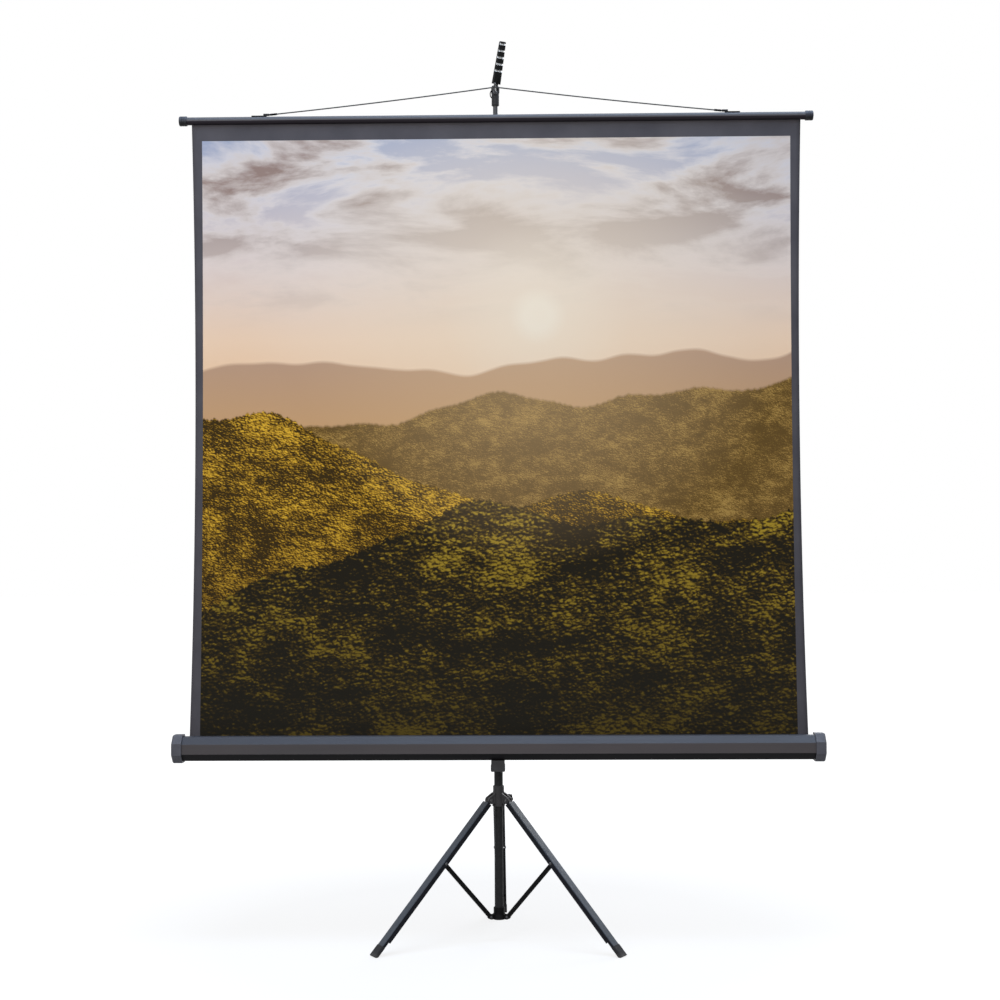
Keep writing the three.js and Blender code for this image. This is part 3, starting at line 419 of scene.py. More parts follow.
def nudged(tree, spot, scale, amount):
    """Places stirred by noise, so that tree crowns stand in no order."""
    stir = add(tree, "ShaderNodeTexNoise", {"Scale": scale, "Detail": 2.0})
    wire(tree, spot, stir.inputs["Vector"])
    centred = add(tree, "ShaderNodeVectorMath", {1: (0.5, 0.5, 0.5)}, operation="SUBTRACT")
    wire(tree, stir.outputs["Color"], centred.inputs[0])
    moved = add(tree, "ShaderNodeVectorMath", {1: (amount, amount, 0)}, operation="MULTIPLY_ADD")
    wire(tree, centred.outputs[0], moved.inputs[0])
    wire(tree, spot, moved.inputs[2])
    return moved.outputs[0]


def crowns(tree, spot, scale, shift):
    """How low a place lies between tree crowns, large and small: 0 on a crown's middle."""
    turn = add(tree, "ShaderNodeMapping", {"Location": (*shift, 0)})
    wire(tree, spot, turn.inputs["Vector"])
    depths = []
    for size, share in ((1.0, 0.6), (2.3, 0.55)):
        cells = add(tree, "ShaderNodeTexVoronoi", {"Scale": scale * size})
        wire(tree, turn.outputs[0], cells.inputs["Vector"])
        depths.append(sums(tree, "MULTIPLY", cells.outputs["Distance"], share))
    return sums(tree, "ADD", *depths)


def canopy(tree, spot, scale, shade, middle, sunlit):
    """Woods from above: crowns lit from the sun's side, broken up by leaves, glades and folds of the ground."""
    spot = nudged(tree, spot, scale * 0.45, 0.7 / scale)
    here = crowns(tree, spot, scale, (0, 0))
    sunward = crowns(tree, spot, scale, (0.07 / scale, 0.17 / scale))
    light = sums(tree, "MULTIPLY", sums(tree, "SUBTRACT", sunward, here), 1.7)
    light = sums(tree, "ADD", light, sums(tree, "MULTIPLY", here, -0.6))
    for size, detail, share in ((2.4, 7, 2.2), (0.30, 4, 1.7), (0.07, 3, 2.6)):
        patches = sums(tree, "SUBTRACT", speckle(tree, spot, scale * size, detail, 0.68), 0.5)
        light = sums(tree, "ADD", light, sums(tree, "MULTIPLY", patches, share))
    return ramp(tree, sums(tree, "ADD", light, 0.62), [(0.08, shade), (0.48, middle), (1.0, sunlit)])


def picture(tree, flat, across, up):
    """A plain evening view over wooded hills, drawn from noise alone."""
    sky = ramp(tree, up, [
        (0.56, (0.93, 0.60, 0.34)), (0.66, (0.92, 0.66, 0.46)), (0.78, (0.76, 0.62, 0.55)),
        (0.90, (0.52, 0.48, 0.52)), (1.0, (0.36, 0.39, 0.50)),
    ])
    drift = add(tree, "ShaderNodeMapping", {"Scale": (2.3, 7.5, 1.0), "Rotation": (0, 0, -0.16), "Location": (3.1, 1.7, 0)})
    wire(tree, flat, drift.inputs["Vector"])
    mass = add(tree, "ShaderNodeTexNoise", {"Scale": 1.25, "Detail": 9.0, "Roughness": 0.58, "Distortion": 0.35})
    wire(tree, drift.outputs[0], mass.inputs["Vector"])
    height = stretch(tree, up, 0.68, 0.92)
    cloud = sums(tree, "MULTIPLY", stretch(tree, mass.outputs["Fac"], 0.48, 0.60), height)
    fringe = sums(tree, "MULTIPLY", stretch(tree, mass.outputs["Fac"], 0.42, 0.52), height)
    sky = blended(tree, sums(tree, "MULTIPLY", fringe, 0.75), sky, (0.95, 0.84, 0.74))
    sky = blended(tree, sums(tree, "MULTIPLY", cloud, 0.9), sky, (0.25, 0.155, 0.125))
    from_sun = add(tree, "ShaderNodeVectorMath", operation="DISTANCE")
    wire(tree, flat, from_sun.inputs[0])
    from_sun.inputs[1].default_value = (0.57, 0.70, 0)
    glow = ramp(tree, from_sun.outputs["Value"], [(0.0, (1, 1, 1)), (0.022, (1, 1, 1)), (0.05, (0.62,) * 3), (0.16, (0.3,) * 3), (0.5, (0, 0, 0))])
    view = blended(tree, glow, sky, (1.0, 0.93, 0.80))
    far, _ = hill(tree, across, up, 0.615, 0.02, 0.10, 3.2, 1.3, 0, 0.006)
    view = blended(tree, far, view, ramp(tree, up, [(0.50, (0.64, 0.37, 0.17)), (0.63, (0.52, 0.33, 0.22))]))
    second, _ = hill(tree, across, up, 0.50, 0.09, 0.16, 2.3, 7.9, 0.006, 0.005)
    woods = canopy(tree, ground(tree, across, up, -0.05), 190, (0.13, 0.072, 0.016), (0.25, 0.14, 0.032), (0.46, 0.28, 0.07))
    view = blended(tree, second, view, woods)
    third, _ = hill(tree, across, up, 0.50, -0.16, 0.26, 1.7, 4.4, 0.012, 0.003)
    spot = ground(tree, across, up, 0.12)
    woods = canopy(tree, spot, 105, (0.040, 0.022, 0.003), (0.29, 0.150, 0.010), (0.80, 0.46, 0.035))
    view = blended(tree, third, view, woods)
    near, _ = hill(tree, across, up, 0.27, 0.13, 0.24, 2.1, 12.6, 0.02, 0.003)
    spot = ground(tree, across, up, -0.10)
    woods = canopy(tree, spot, 62, (0.010, 0.0070, 0.002), (0.085, 0.050, 0.006), (0.46, 0.30, 0.025))
    view = blended(tree, near, view, woods)
    dusk = stretch(tree, up, 0.38, 0.04, 0.0, 0.80)
    view = blended(tree, dusk, view, (0.010, 0.0085, 0.005))
    haze = stretch(tree, from_sun.outputs["Value"], 0.42, 0.0, 0.0, 0.32)
    return blended(tree, haze, view, (0.95, 0.66, 0.36))


# Shares of the sheet's width and length that the black borders take
BORDER_SIDE = 0.0165
BORDER_TOP = 0.0271
BORDER_FOOT = 0.0165


def screen_face():
    """Matte projection face with a lit picture inside a printed black border."""
    finish, tree, shader = new_finish("screen_face")
    flat, across, up = sheet_parts(tree)
    inner = add(tree, "ShaderNodeMapping", {
        "Location": (-BORDER_SIDE / (1 - 2 * BORDER_SIDE), -BORDER_FOOT / (1 - BORDER_FOOT - BORDER_TOP), 0),
        "Scale": (1 / (1 - 2 * BORDER_SIDE), 1 / (1 - BORDER_FOOT - BORDER_TOP), 1),
    })
    wire(tree, flat, inner.inputs["Vector"])
    split = add(tree, "ShaderNodeSeparateXYZ")
    wire(tree, inner.outputs[0], split.inputs[0])
    view = picture(tree, inner.outputs[0], split.outputs["X"], split.outputs["Y"])
    edges = [
        stretch(tree, across, BORDER_SIDE, BORDER_SIDE + 0.0004),
        stretch(tree, across, 1 - BORDER_SIDE, 1 - BORDER_SIDE - 0.0004),
        stretch(tree, up, 1 - BORDER_TOP, 1 - BORDER_TOP - 0.0004),
        stretch(tree, up, BORDER_FOOT, BORDER_FOOT + 0.0004),
    ]
    inside = edges[0]
    for edge in edges[1:]:
        inside = sums(tree, "MINIMUM", inside, edge)
    ink = ramp(tree, speckle(tree, flat, 14, 4), [(0.3, (0.070, 0.066, 0.075)), (0.7, (0.094, 0.088, 0.097))])
    cloth = weave(tree, flat, 420)
    tone = blended(tree, inside, ink, view)
    wire(tree, tone, shader.inputs["Base Color"])
    wire(tree, stretch(tree, cloth, 0, 1, 0.82, 0.94), shader.inputs["Roughness"])
    raised(tree, shader, cloth, 0.00012, 0.35)
    shader.inputs["Specular IOR Level"].default_value = 0.2
    return finish


def screen_back(name):
    """Black backing cloth: a plain weave with slubs and a little lint."""
    finish, tree, shader = new_finish(name)
    flat, across, up = sheet_parts(tree)
    cloth = weave(tree, flat, 300)
    slubs = add(tree, "ShaderNodeMapping", {"Scale": (6, 160, 1)})
    wire(tree, flat, slubs.inputs["Vector"])
    tone = ramp(tree, speckle(tree, slubs.outputs[0], 1.0, 4), [(0.3, (0.016, 0.016, 0.018)), (0.7, (0.030, 0.030, 0.033))])
    lint = stretch(tree, speckle(tree, flat, 260, 2), 0.72, 0.8, 0, 0.4)
    wire(tree, blended(tree, lint, tone, (0.10, 0.10, 0.10)), shader.inputs["Base Color"])
    wire(tree, stretch(tree, cloth, 0, 1, 0.85, 0.96), shader.inputs["Roughness"])
    raised(tree, shader, cloth, 0.00018, 0.5)
    shader.inputs["Specular IOR Level"].default_value = 0.2
    shader.inputs["Sheen Weight"].default_value = 0.12
    return finish


LEG_PAINT = painted_steel("leg_paint", (0.028, 0.036, 0.048), (0.042, 0.054, 0.070), (0.12, 0.13, 0.15), 0.36, 0.12)
# Painted shade: a black copy of the leg paint for the channel's walls and inside
LEG_PAINTED_SHADE = painted_steel("leg_painted_shade", (0.006, 0.007, 0.009), (0.011, 0.012, 0.015), (0.05, 0.05, 0.06), 0.42, 0.05)
DEEP_BLACK = painted_steel("deep_black_paint", (0.004, 0.004, 0.004), (0.007, 0.007, 0.007), (0.04, 0.04, 0.04), 0.45, 0.04)
ROD_PAINT = painted_steel("rod_paint", (0.026, 0.026, 0.028), (0.040, 0.040, 0.043), (0.12, 0.12, 0.13), 0.3, 0.3)
POST_PAINT = painted_steel("post_paint", (0.007, 0.007, 0.008), (0.012, 0.012, 0.013), (0.06, 0.06, 0.06), 0.42, 0.08)
WIRE_COAT = painted_steel("wire_coat", (0.008, 0.008, 0.009), (0.014, 0.014, 0.015), (0.12, 0.12, 0.12), 0.45, 0.25)
BLACKENED = painted_steel("blackened_steel", (0.018, 0.018, 0.020), (0.034, 0.034, 0.037), (0.16, 0.16, 0.17), 0.32, 0.5)
# Case and slat: painted top light and painted shade in bands by height
CASE_METAL = anodised_with_painted_light("case_anodised", CASE_Z - 0.0124, CASE_Z + 0.0124, (0.0085, 0.0080, 0.0087))
SLAT_METAL = anodised_with_painted_light("slat_anodised", SLAT_Z - 0.0015, SLAT_Z + 0.0010, (0.0250, 0.0210, 0.0255))
PLASTIC = moulded_plastic("black_moulding", (0.014, 0.013, 0.014), (0.024, 0.023, 0.024), 0.5, 1700)
CAP_PLASTIC = moulded_plastic("cap_moulding", (0.062, 0.062, 0.073), (0.092, 0.092, 0.106), 0.46, 1500)
# Slat plugs: painted shade over their lower half
PLUG_PLASTIC = moulded_plastic(
    "plug_moulding", (0.036, 0.040, 0.052), (0.054, 0.058, 0.074), 0.46, 1500, (SLAT_Z + 0.006, SLAT_Z - 0.008),
)
LATCH_PLASTIC = moulded_plastic("latch_moulding", (0.026, 0.025, 0.027), (0.040, 0.039, 0.041), 0.48, 1600)
KNOB_PLASTIC = moulded_plastic("knob_moulding", (0.014, 0.014, 0.015), (0.024, 0.024, 0.026), 0.42, 1300)
RUBBER = dull_rubber()
ZINC = zinc_steel()
NOTCH_WHITE = notch_white()
FACE = screen_face()
BACKING = screen_back("screen_backing")
FINISH_OF = {
    "leg_steel": LEG_PAINT, "post_steel": POST_PAINT, "case_aluminium": CASE_METAL, "black_plastic": PLASTIC,
    "rubber": RUBBER, "bright_steel": ZINC, "screen_sheet": BACKING, "black_sheet": BACKING,
}
for label, solid in NODES.items():
    for holder in solid.material_slots:
        holder.material = FINISH_OF[SLOT_OF[label]]


# Ways to make pieces

def set_down(shape, name, body, finishes, stands_for=(), smooth_to=40):
    """Turns a finished bmesh into a piece that rides on a body."""
    for face in shape.faces:
        face.smooth = True
    mesh = bpy.data.meshes.new(name)
    shape.to_mesh(mesh)
    shape.free()
    mesh.set_sharp_from_angle(angle=math.radians(smooth_to))
    for finish in finishes:
        mesh.materials.append(finish)
    made = bpy.data.objects.new(name, mesh)
    bpy.context.scene.collection.objects.link(made)
    even = made.modifiers.new("even_shading", "WEIGHTED_NORMAL")
    even.keep_sharp = True
    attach(made, body)
    if stands_for:
        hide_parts(*stands_for)
    return made


def copy_of(node):
    """A node's own shape with its corners joined and its flat faces whole."""
    shape = bmesh.new()
    shape.from_mesh(NODES[node].data)
    bmesh.ops.remove_doubles(shape, verts=shape.verts, dist=2e-6)
    bmesh.ops.dissolve_limit(shape, angle_limit=math.radians(0.6), verts=shape.verts, edges=shape.edges)
    return shape


def ease_edges(shape, width, corner=32, rounds=2):
    sharp = [e for e in shape.edges if len(e.link_faces) == 2 and e.calc_face_angle() > math.radians(corner)]
    bmesh.ops.bevel(
        shape, geom=sharp, offset=width, offset_type="OFFSET", segments=rounds, profile=0.5,
        affect="EDGES", clamp_overlap=True, material=-1,
    )


def eased(node, name, finish, width, corner=32, rounds=2):
    """A copy of a node with its sharp edges eased, standing for the node."""
    shape = copy_of(node)
    ease_edges(shape, width, corner, rounds)
    return set_down(shape, name, NODES[node]["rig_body"], [finish], [node])


def turned_shape(profile, steps=40):
    """A profile of (radius, height) pairs spun round Z, closed where it meets the axis."""
    shape = bmesh.new()
    corners = [shape.verts.new((radius, 0, height)) for radius, height in profile]
    edges = [shape.edges.new(pair) for pair in zip(corners, corners[1:])]
    if profile[0][0] > 0 and profile[-1][0] > 0:
        edges.append(shape.edges.new((corners[-1], corners[0])))
    bmesh.ops.spin(
        shape, geom=corners + edges, cent=(0, 0, 0), axis=(0, 0, 1), dvec=(0, 0, 0),
        angle=2 * math.pi, steps=steps, use_merge=True, use_normal_flip=False, use_duplicate=False,
    )
    bmesh.ops.remove_doubles(shape, verts=shape.verts, dist=1e-7)
    bmesh.ops.dissolve_degenerate(shape, edges=shape.edges, dist=1e-7)
    bmesh.ops.recalc_face_normals(shape, faces=shape.faces)
    return shape


def placed(shape, point, direction):
    """Stands a shape that was made along Z at a point, along a direction."""
    turn = Vector(direction).normalized().to_track_quat("Z", "Y").to_matrix().to_4x4()
    bmesh.ops.transform(shape, matrix=Matrix.Translation(point) @ turn, verts=shape.verts)
    return shape


def gathered(shapes):
    """Several closed shapes in one bmesh."""
    whole = bmesh.new()
    for shape in shapes:
        step = bpy.data.meshes.new("step")
        shape.to_mesh(step)
        shape.free()
        whole.from_mesh(step)
        bpy.data.meshes.remove(step)
    return whole


def rivet(radius, height, point, direction):
    profile = [
        (0, height), (radius * 0.38, height * 0.94), (radius * 0.7, height * 0.74), (radius * 0.92, height * 0.4),
        (radius, height * 0.12), (radius, 0), (0, 0),
    ]
    return placed(turned_shape(profile, 24), point, direction)


def socket_screw(radius, height, point, direction):
    profile = [
        (0, height * 0.45), (radius * 0.42, height * 0.45), (radius * 0.46, height), (radius * 0.7, height * 0.96),
        (radius * 0.92, height * 0.7), (radius, height * 0.3), (radius, 0), (0, 0),
    ]
    return placed(turned_shape(profile, 24), point, direction)


# Hanger wire, laid over the hook from clip to clip

WIRE_DIA = 0.003
WIRE_END = 0.5767
WIRE_TOP = 2.167
WIRE_RISE = 0.066
WIRE_SAG = 0.0025
WIRE_CREST = 0.003
WIRE_SHARES = [0.02, 0.25, 0.5, 0.75, 0.965, 1]
WIRE_LAY = 0.565  # reach of the strands, as a share of a plain wire's width


def wire_half():
    """Points from the hook down to one clip, at shares of the half span."""
    points = [(WIRE_CREST, WIRE_TOP)]
    for share in WIRE_SHARES:
        sag = 4 * share * (1 - share) * WIRE_SAG
        points.append((share * WIRE_END, WIRE_TOP - share * WIRE_RISE - sag))
    return points


def wire_route():
    half = wire_half()
    points = [(-x, z) for x, z in reversed(half)] + half
    slopes = []
    for i in range(len(points)):
        before, after = points[max(i - 1, 0)], points[min(i + 1, len(points) - 1)]
        slopes.append((after[1] - before[1]) / (after[0] - before[0]))
    route = []
    for (x0, z0), (x1, z1), s0, s1 in zip(points, points[1:], slopes, slopes[1:]):
        span = x1 - x0
        count = max(2, round(span / 0.0018))
        for k in range(count):
            t = k / count
            z = (2 * t**3 - 3 * t**2 + 1) * z0 + (t**3 - 2 * t**2 + t) * span * s0
            z += (3 * t**2 - 2 * t**3) * z1 + (t**3 - t**2) * span * s1
            route.append(Vector((x0 + t * span, SHEET_Y, z)))
    route.append(Vector((points[-1][0], SHEET_Y, points[-1][1])))
    return route


def wire_sleeves(route):
    """Crimped sleeves that close the wire's two ends beside the clips."""
    profile = [
        (0.0018, 0), (0.0023, 0), (0.0027, 0.0006), (0.0027, 0.0070), (0.0025, 0.0076), (0.0025, 0.0104),
        (0.0027, 0.0110), (0.0027, 0.0174), (0.0023, 0.0180), (0.0018, 0.0180),
    ]
    sleeves = []
    for name, end, inward in (("left", route[0], route[8]), ("right", route[-1], route[-9])):
        along = (inward - end).normalized()
        sleeve = placed(turned_shape(profile, 24), end + along * 0.0004, along)
        sleeves.append(set_down(sleeve, f"wire_sleeve_{name}", "rod", [DEEP_BLACK]))
    return sleeves


def hanger_wire():
    """Three coated strands laid together, drawn along the route with one full turn every 14 mm."""
    route = wire_route()
    shape = bmesh.new()
    ring = bmesh.ops.create_circle(shape, cap_ends=False, segments=15, radius=WIRE_DIA * WIRE_LAY)["verts"]
    valleys = [v for i, v in enumerate(ring) if i % 5 == 0]
    bmesh.ops.scale(shape, vec=(0.85, 0.85, 1), verts=valleys)
    turn = (route[1] - route[0]).to_track_quat("Z", "Y").to_matrix().to_4x4()
    bmesh.ops.transform(shape, matrix=Matrix.Translation(route[0]) @ turn, verts=ring)
    edges = list(shape.edges)
    first = list(shape.edges)
    for start, end in zip(route, route[1:]):
        step = end - start
        grown = bmesh.ops.extrude_edge_only(shape, edges=edges)["geom"]
        edges = [g for g in grown if isinstance(g, bmesh.types.BMEdge)]
        corners = [g for g in grown if isinstance(g, bmesh.types.BMVert)]
        bmesh.ops.translate(shape, verts=corners, vec=step)
        twist = Matrix.Rotation(2 * math.pi * step.length / 0.014, 3, step)
        bmesh.ops.rotate(shape, verts=corners, cent=end, matrix=twist)
    bmesh.ops.edgeloop_fill(shape, edges=first)
    bmesh.ops.edgeloop_fill(shape, edges=edges)
    bmesh.ops.recalc_face_normals(shape, faces=shape.faces)
    made = set_down(shape, "hanger_cable", "rod", [WIRE_COAT], ["hanger_wire"], 70)
    wire_sleeves(route)


hanger_wire()


# Screen sheet and the turns left on its roller

SHEET_HALF = 0.777
SHEET_FOOT = 0.491
SHEET_TOP = 2.0775
SHEET_WAIST = 0.01225
CASE_TOP = 0.521


def screen_sheet():
    """The hung sheet: side edges drawn in at mid height, with slow tension waves and edges that curl a little."""
    shape = bmesh.new()
    bmesh.ops.create_grid(shape, x_segments=120, y_segments=120, size=1)
    layer = shape.loops.layers.uv.new("UVMap")
    length = SHEET_TOP - SHEET_FOOT
    for face in shape.faces:
        for loop in face.loops:
            loop[layer].uv = ((loop.vert.co.x + 1) / 2, (loop.vert.co.y + 1) / 2)
    for vert in shape.verts:
        side, share = vert.co.x, (vert.co.y + 1) / 2
        z = SHEET_FOOT + share * length
        free = max(0.0, (z - CASE_TOP) / (SHEET_TOP - CASE_TOP))
        bow = 4 * free * (1 - free)
        half = SHEET_HALF - SHEET_WAIST * bow
        x = side * SHEET_HALF
        edge = max(0.0, (abs(side) - 0.94) / 0.06)
        x -= math.copysign(SHEET_WAIST * bow * edge**2 * (3 - 2 * edge), side)
        x = max(-half, min(half, x))
        wave = 0.0009 * math.sin(5.2 * side + 1.1) * math.sin(math.pi * free) ** 2
        wave += 0.0006 * math.sin(11 * side - 2.0 * free) * bow
        curl = -0.0034 * bow * max(0.0, (abs(side) - 0.86) / 0.14) ** 2
        vert.co = (x, SHEET_Y + wave + curl, z)
    bmesh.ops.recalc_face_normals(shape, faces=shape.faces)
    if sum(face.normal.y for face in shape.faces) > 0:
        bmesh.ops.reverse_faces(shape, faces=shape.faces)
    made = set_down(shape, "hung_sheet", "case", [FACE, BACKING], ["screen_sheet"], 60)
    made.modifiers.clear()
    thick = made.modifiers.new("cloth_thickness", "SOLIDIFY")
    thick.thickness = 0.0006
    thick.offset = -1
    thick.material_offset = 1
    thick.material_offset_rim = 1
    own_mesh(made)


screen_sheet()


def rolled_sheet():
    """What is left on the roller: one strip of the sheet wound in a spiral of four and a quarter turns."""
    shape = bmesh.new()
    ends = [shape.verts.new((x, CASE_Y, CASE_Z + 0.01648)) for x in (-SHEET_HALF, SHEET_HALF)]
    edges = [shape.edges.new(ends)]
    centre = Vector((0, CASE_Y, CASE_Z))
    steps, turns, growth = 32, 4.25, 0.00070
    radius = 0.01648
    rows = [ends]
    for i in range(round(steps * turns)):
        grown = bmesh.ops.extrude_edge_only(shape, edges=edges)["geom"]
        edges = [g for g in grown if isinstance(g, bmesh.types.BMEdge)]
        corners = [g for g in grown if isinstance(g, bmesh.types.BMVert)]
        wider = (radius + growth / steps) / radius
        radius *= wider
        place = Matrix.Translation(centre)
        bmesh.ops.scale(shape, vec=(1, wider, wider), verts=corners, space=place.inverted())
        bmesh.ops.rotate(shape, verts=corners, cent=centre, matrix=Matrix.Rotation(-2 * math.pi / steps, 3, "X"))
        rows.append(corners)
    layer = shape.loops.layers.uv.new("UVMap")
    row_of = {vert: i for i, row in enumerate(rows) for vert in row}
    for face in shape.faces:
        for loop in face.loops:
            loop[layer].uv = (loop.vert.co.x / (2 * SHEET_HALF) + 0.5, row_of[loop.vert] * 0.0024)
    bmesh.ops.recalc_face_normals(shape, faces=shape.faces)
    made = set_down(shape, "sheet_on_roller", "roller", [BACKING], ["sheet_wrap"], 60)
    made.modifiers.clear()
    thick = made.modifiers.new("cloth_thickness", "SOLIDIFY")
    thick.thickness = 0.0004
    thick.offset = 0


rolled_sheet()


def roller_spring():
    """The return spring: round wire coiled on its spindle."""
    shape = bmesh.new()
    start = 0.7690
    turns, pitch, radius = 14, 0.026, 0.0058
    ring = bmesh.ops.create_circle(shape, cap_ends=False, segments=8, radius=0.001)["verts"]
    bmesh.ops.rotate(shape, verts=ring, cent=(0, 0, 0), matrix=Matrix.Rotation(math.pi / 2, 3, "X"))
    bmesh.ops.translate(shape, verts=ring, vec=(start - turns * pitch, CASE_Y, CASE_Z + radius))
    first = list(shape.edges)
    steps = turns * 20
    made = bmesh.ops.spin(
        shape, geom=ring + first, cent=(0, CASE_Y, CASE_Z), axis=(1, 0, 0), dvec=(turns * pitch / steps, 0, 0),
        angle=2 * math.pi * turns, steps=steps, use_merge=False, use_normal_flip=False, use_duplicate=False,
    )
    last = [g for g in made["geom_last"] if isinstance(g, bmesh.types.BMEdge)]
    bmesh.ops.edgeloop_fill(shape, edges=first)
    bmesh.ops.edgeloop_fill(shape, edges=last)
    bmesh.ops.recalc_face_normals(shape, faces=shape.faces)
    set_down(shape, "coiled_spring", "case", [ZINC], ["roller_spring"], 60)


roller_spring()


# Post, rod and slat tubes

def pipe(outer, wall, low, high):
    lip = 0.0004
    return turned_shape([
        (outer - wall, low), (outer - lip, low), (outer, low + lip), (outer, high - lip), (outer - lip, high),
        (outer - wall, high),
    ], 56)


def upright_tubes():
    post = placed(pipe(0.011, 0.0012, 0.058, 1.290), (0, POST_Y, 0), (0, 0, 1))
    set_down(post, "post_pipe", "post", [POST_PAINT], ["post_tube"])
    rod = placed(pipe(0.00615, 0.001, 0.900, 2.148), (0, POST_Y, 0), (0, 0, 1))
    set_down(rod, "rod_pipe", "rod", [ROD_PAINT], ["extension_rod"])


upright_tubes()


def slat():
    """A round tube, open along its underside where the sheet goes in."""
    outer, inner, slot = 0.010, 0.0085, 0.0024
    gap = math.asin(slot / 2 / outer)
    end = SLAT_HALF - 0.0033
    shape = bmesh.new()
    ends = [shape.verts.new((-end, 0, -radius)) for radius in (inner, outer)]
    edge = shape.edges.new(ends)
    bmesh.ops.rotate(shape, verts=ends, cent=(0, 0, 0), matrix=Matrix.Rotation(gap, 3, "X"))
    bmesh.ops.spin(
        shape, geom=ends + [edge], cent=(0, 0, 0), axis=(1, 0, 0), dvec=(0, 0, 0),
        angle=2 * math.pi - 2 * gap, steps=52, use_merge=False, use_normal_flip=False, use_duplicate=False,
    )
    grown = bmesh.ops.extrude_face_region(shape, geom=list(shape.faces))["geom"]
    bmesh.ops.translate(shape, verts=[g for g in grown if isinstance(g, bmesh.types.BMVert)], vec=(2 * end, 0, 0))
    bmesh.ops.recalc_face_normals(shape, faces=shape.faces)
    bmesh.ops.translate(shape, verts=shape.verts, vec=(0, SHEET_Y, SLAT_Z))
    set_down(shape, "slat_pipe", "rod", [SLAT_METAL], ["slat_tube"])


slat()


def slat_ends():
    """Round end plugs with a lip, two grip grooves and a dished face."""
    rim, seat, long = 0.0125, 0.0103, 0.020
    profile = [
        (0, 0.0012), (0.0075, 0.0012), (0.0085, 0.0004), (0.0095, 0.0), (0.0108, 0.0003), (0.0119, 0.0010), (rim, 0.0025),
        (rim, 0.0068), (0.0119, 0.0073), (0.0119, 0.0083), (rim, 0.0088), (rim, 0.0110), (0.0119, 0.0115),
        (0.0119, 0.0125), (rim, 0.0130), (rim, long - 0.001), (rim - 0.0003, long - 0.0003), (rim - 0.001, long),
        (seat, long), (seat, 0.003), (0, 0.003),
    ]
    for name, side in (("left", -1), ("right", 1)):
        shape = placed(turned_shape(profile, 48), (side * SLAT_HALF, SHEET_Y, SLAT_Z), (-side, 0, 0))
        set_down(shape, f"slat_plug_{name}", "rod", [PLUG_PLASTIC], [f"slat_cap_{name}"])


slat_ends()


# Case, its caps and its mount

def case_pieces():
    eased("case_shell", "case_extrusion", CASE_METAL, 0.0007, 30, 3)
    for name, side in (("left", -1), ("right", 1)):
        node = f"case_cap_{name}"
        shape = copy_of(node)
        outer = [f for f in shape.faces if f.normal.x * side > 0.95 and abs(f.calc_center_median().x) > CASE_HALF - 0.0005]
        bmesh.ops.inset_region(shape, faces=outer, thickness=0.0055, depth=0.0, use_even_offset=True, use_boundary=True)
        inset = bmesh.ops.inset_region(shape, faces=outer, thickness=0.0012, depth=-0.0012, use_even_offset=True, use_boundary=True)
        ease_edges(shape, 0.0007, 30, 2)
        set_down(shape, f"case_end_{name}", "case", [CAP_PLASTIC], [node])
        screws = [
            socket_screw(0.0034, 0.0018, (side * (CASE_HALF - 0.0014), CASE_Y + dy, CASE_Z + dz), (side, 0, 0))
            for dy, dz in ((0.0135, 0.0135), (-0.0135, -0.0135))
        ]
        set_down(gathered(screws), f"case_end_screws_{name}", "case", [ZINC])
    eased("mount_plate", "mount_bracket", POST_PAINT, 0.0009, 32, 2)
    eased("carriage", "post_carriage", PLASTIC, 0.0012, 40, 3)
    eased("latch_block", "case_latch", LATCH_PLASTIC, 0.0010, 25, 3)
    bolts = [socket_screw(0.0036, 0.0022, (x, POST_Y - 0.0243, 0.4885), (0, 1, 0)) for x in (-0.0145, 0.0145)]
    set_down(gathered(bolts), "mount_bolts", "case", [ZINC])


case_pieces()


# Tripod

def leg_direction(number):
    turn = LEG_TURNS[number]
    return Vector((math.cos(turn), math.sin(turn), 0)), Vector((-math.sin(turn), math.cos(turn), 0))


def leg_bar(k, out):
    """A folded channel: blue-grey on its outer face, with black painted shade on its walls and inside."""
    node = f"leg_channel_{k}"
    outward = out * math.cos(LEG_LEAN) + Vector((0, 0, math.sin(LEG_LEAN)))
    shape = copy_of(node)
    # Painted shade: every face that does not face outward gets the black copy
    for face in shape.faces:
        if face.normal.dot(outward) < 0.5:
            face.material_index = 1
    ease_edges(shape, 0.00045, 40, 2)
    set_down(shape, f"leg_bar_{k}", f"leg_{k}", [LEG_PAINT, LEG_PAINTED_SHADE], [node])


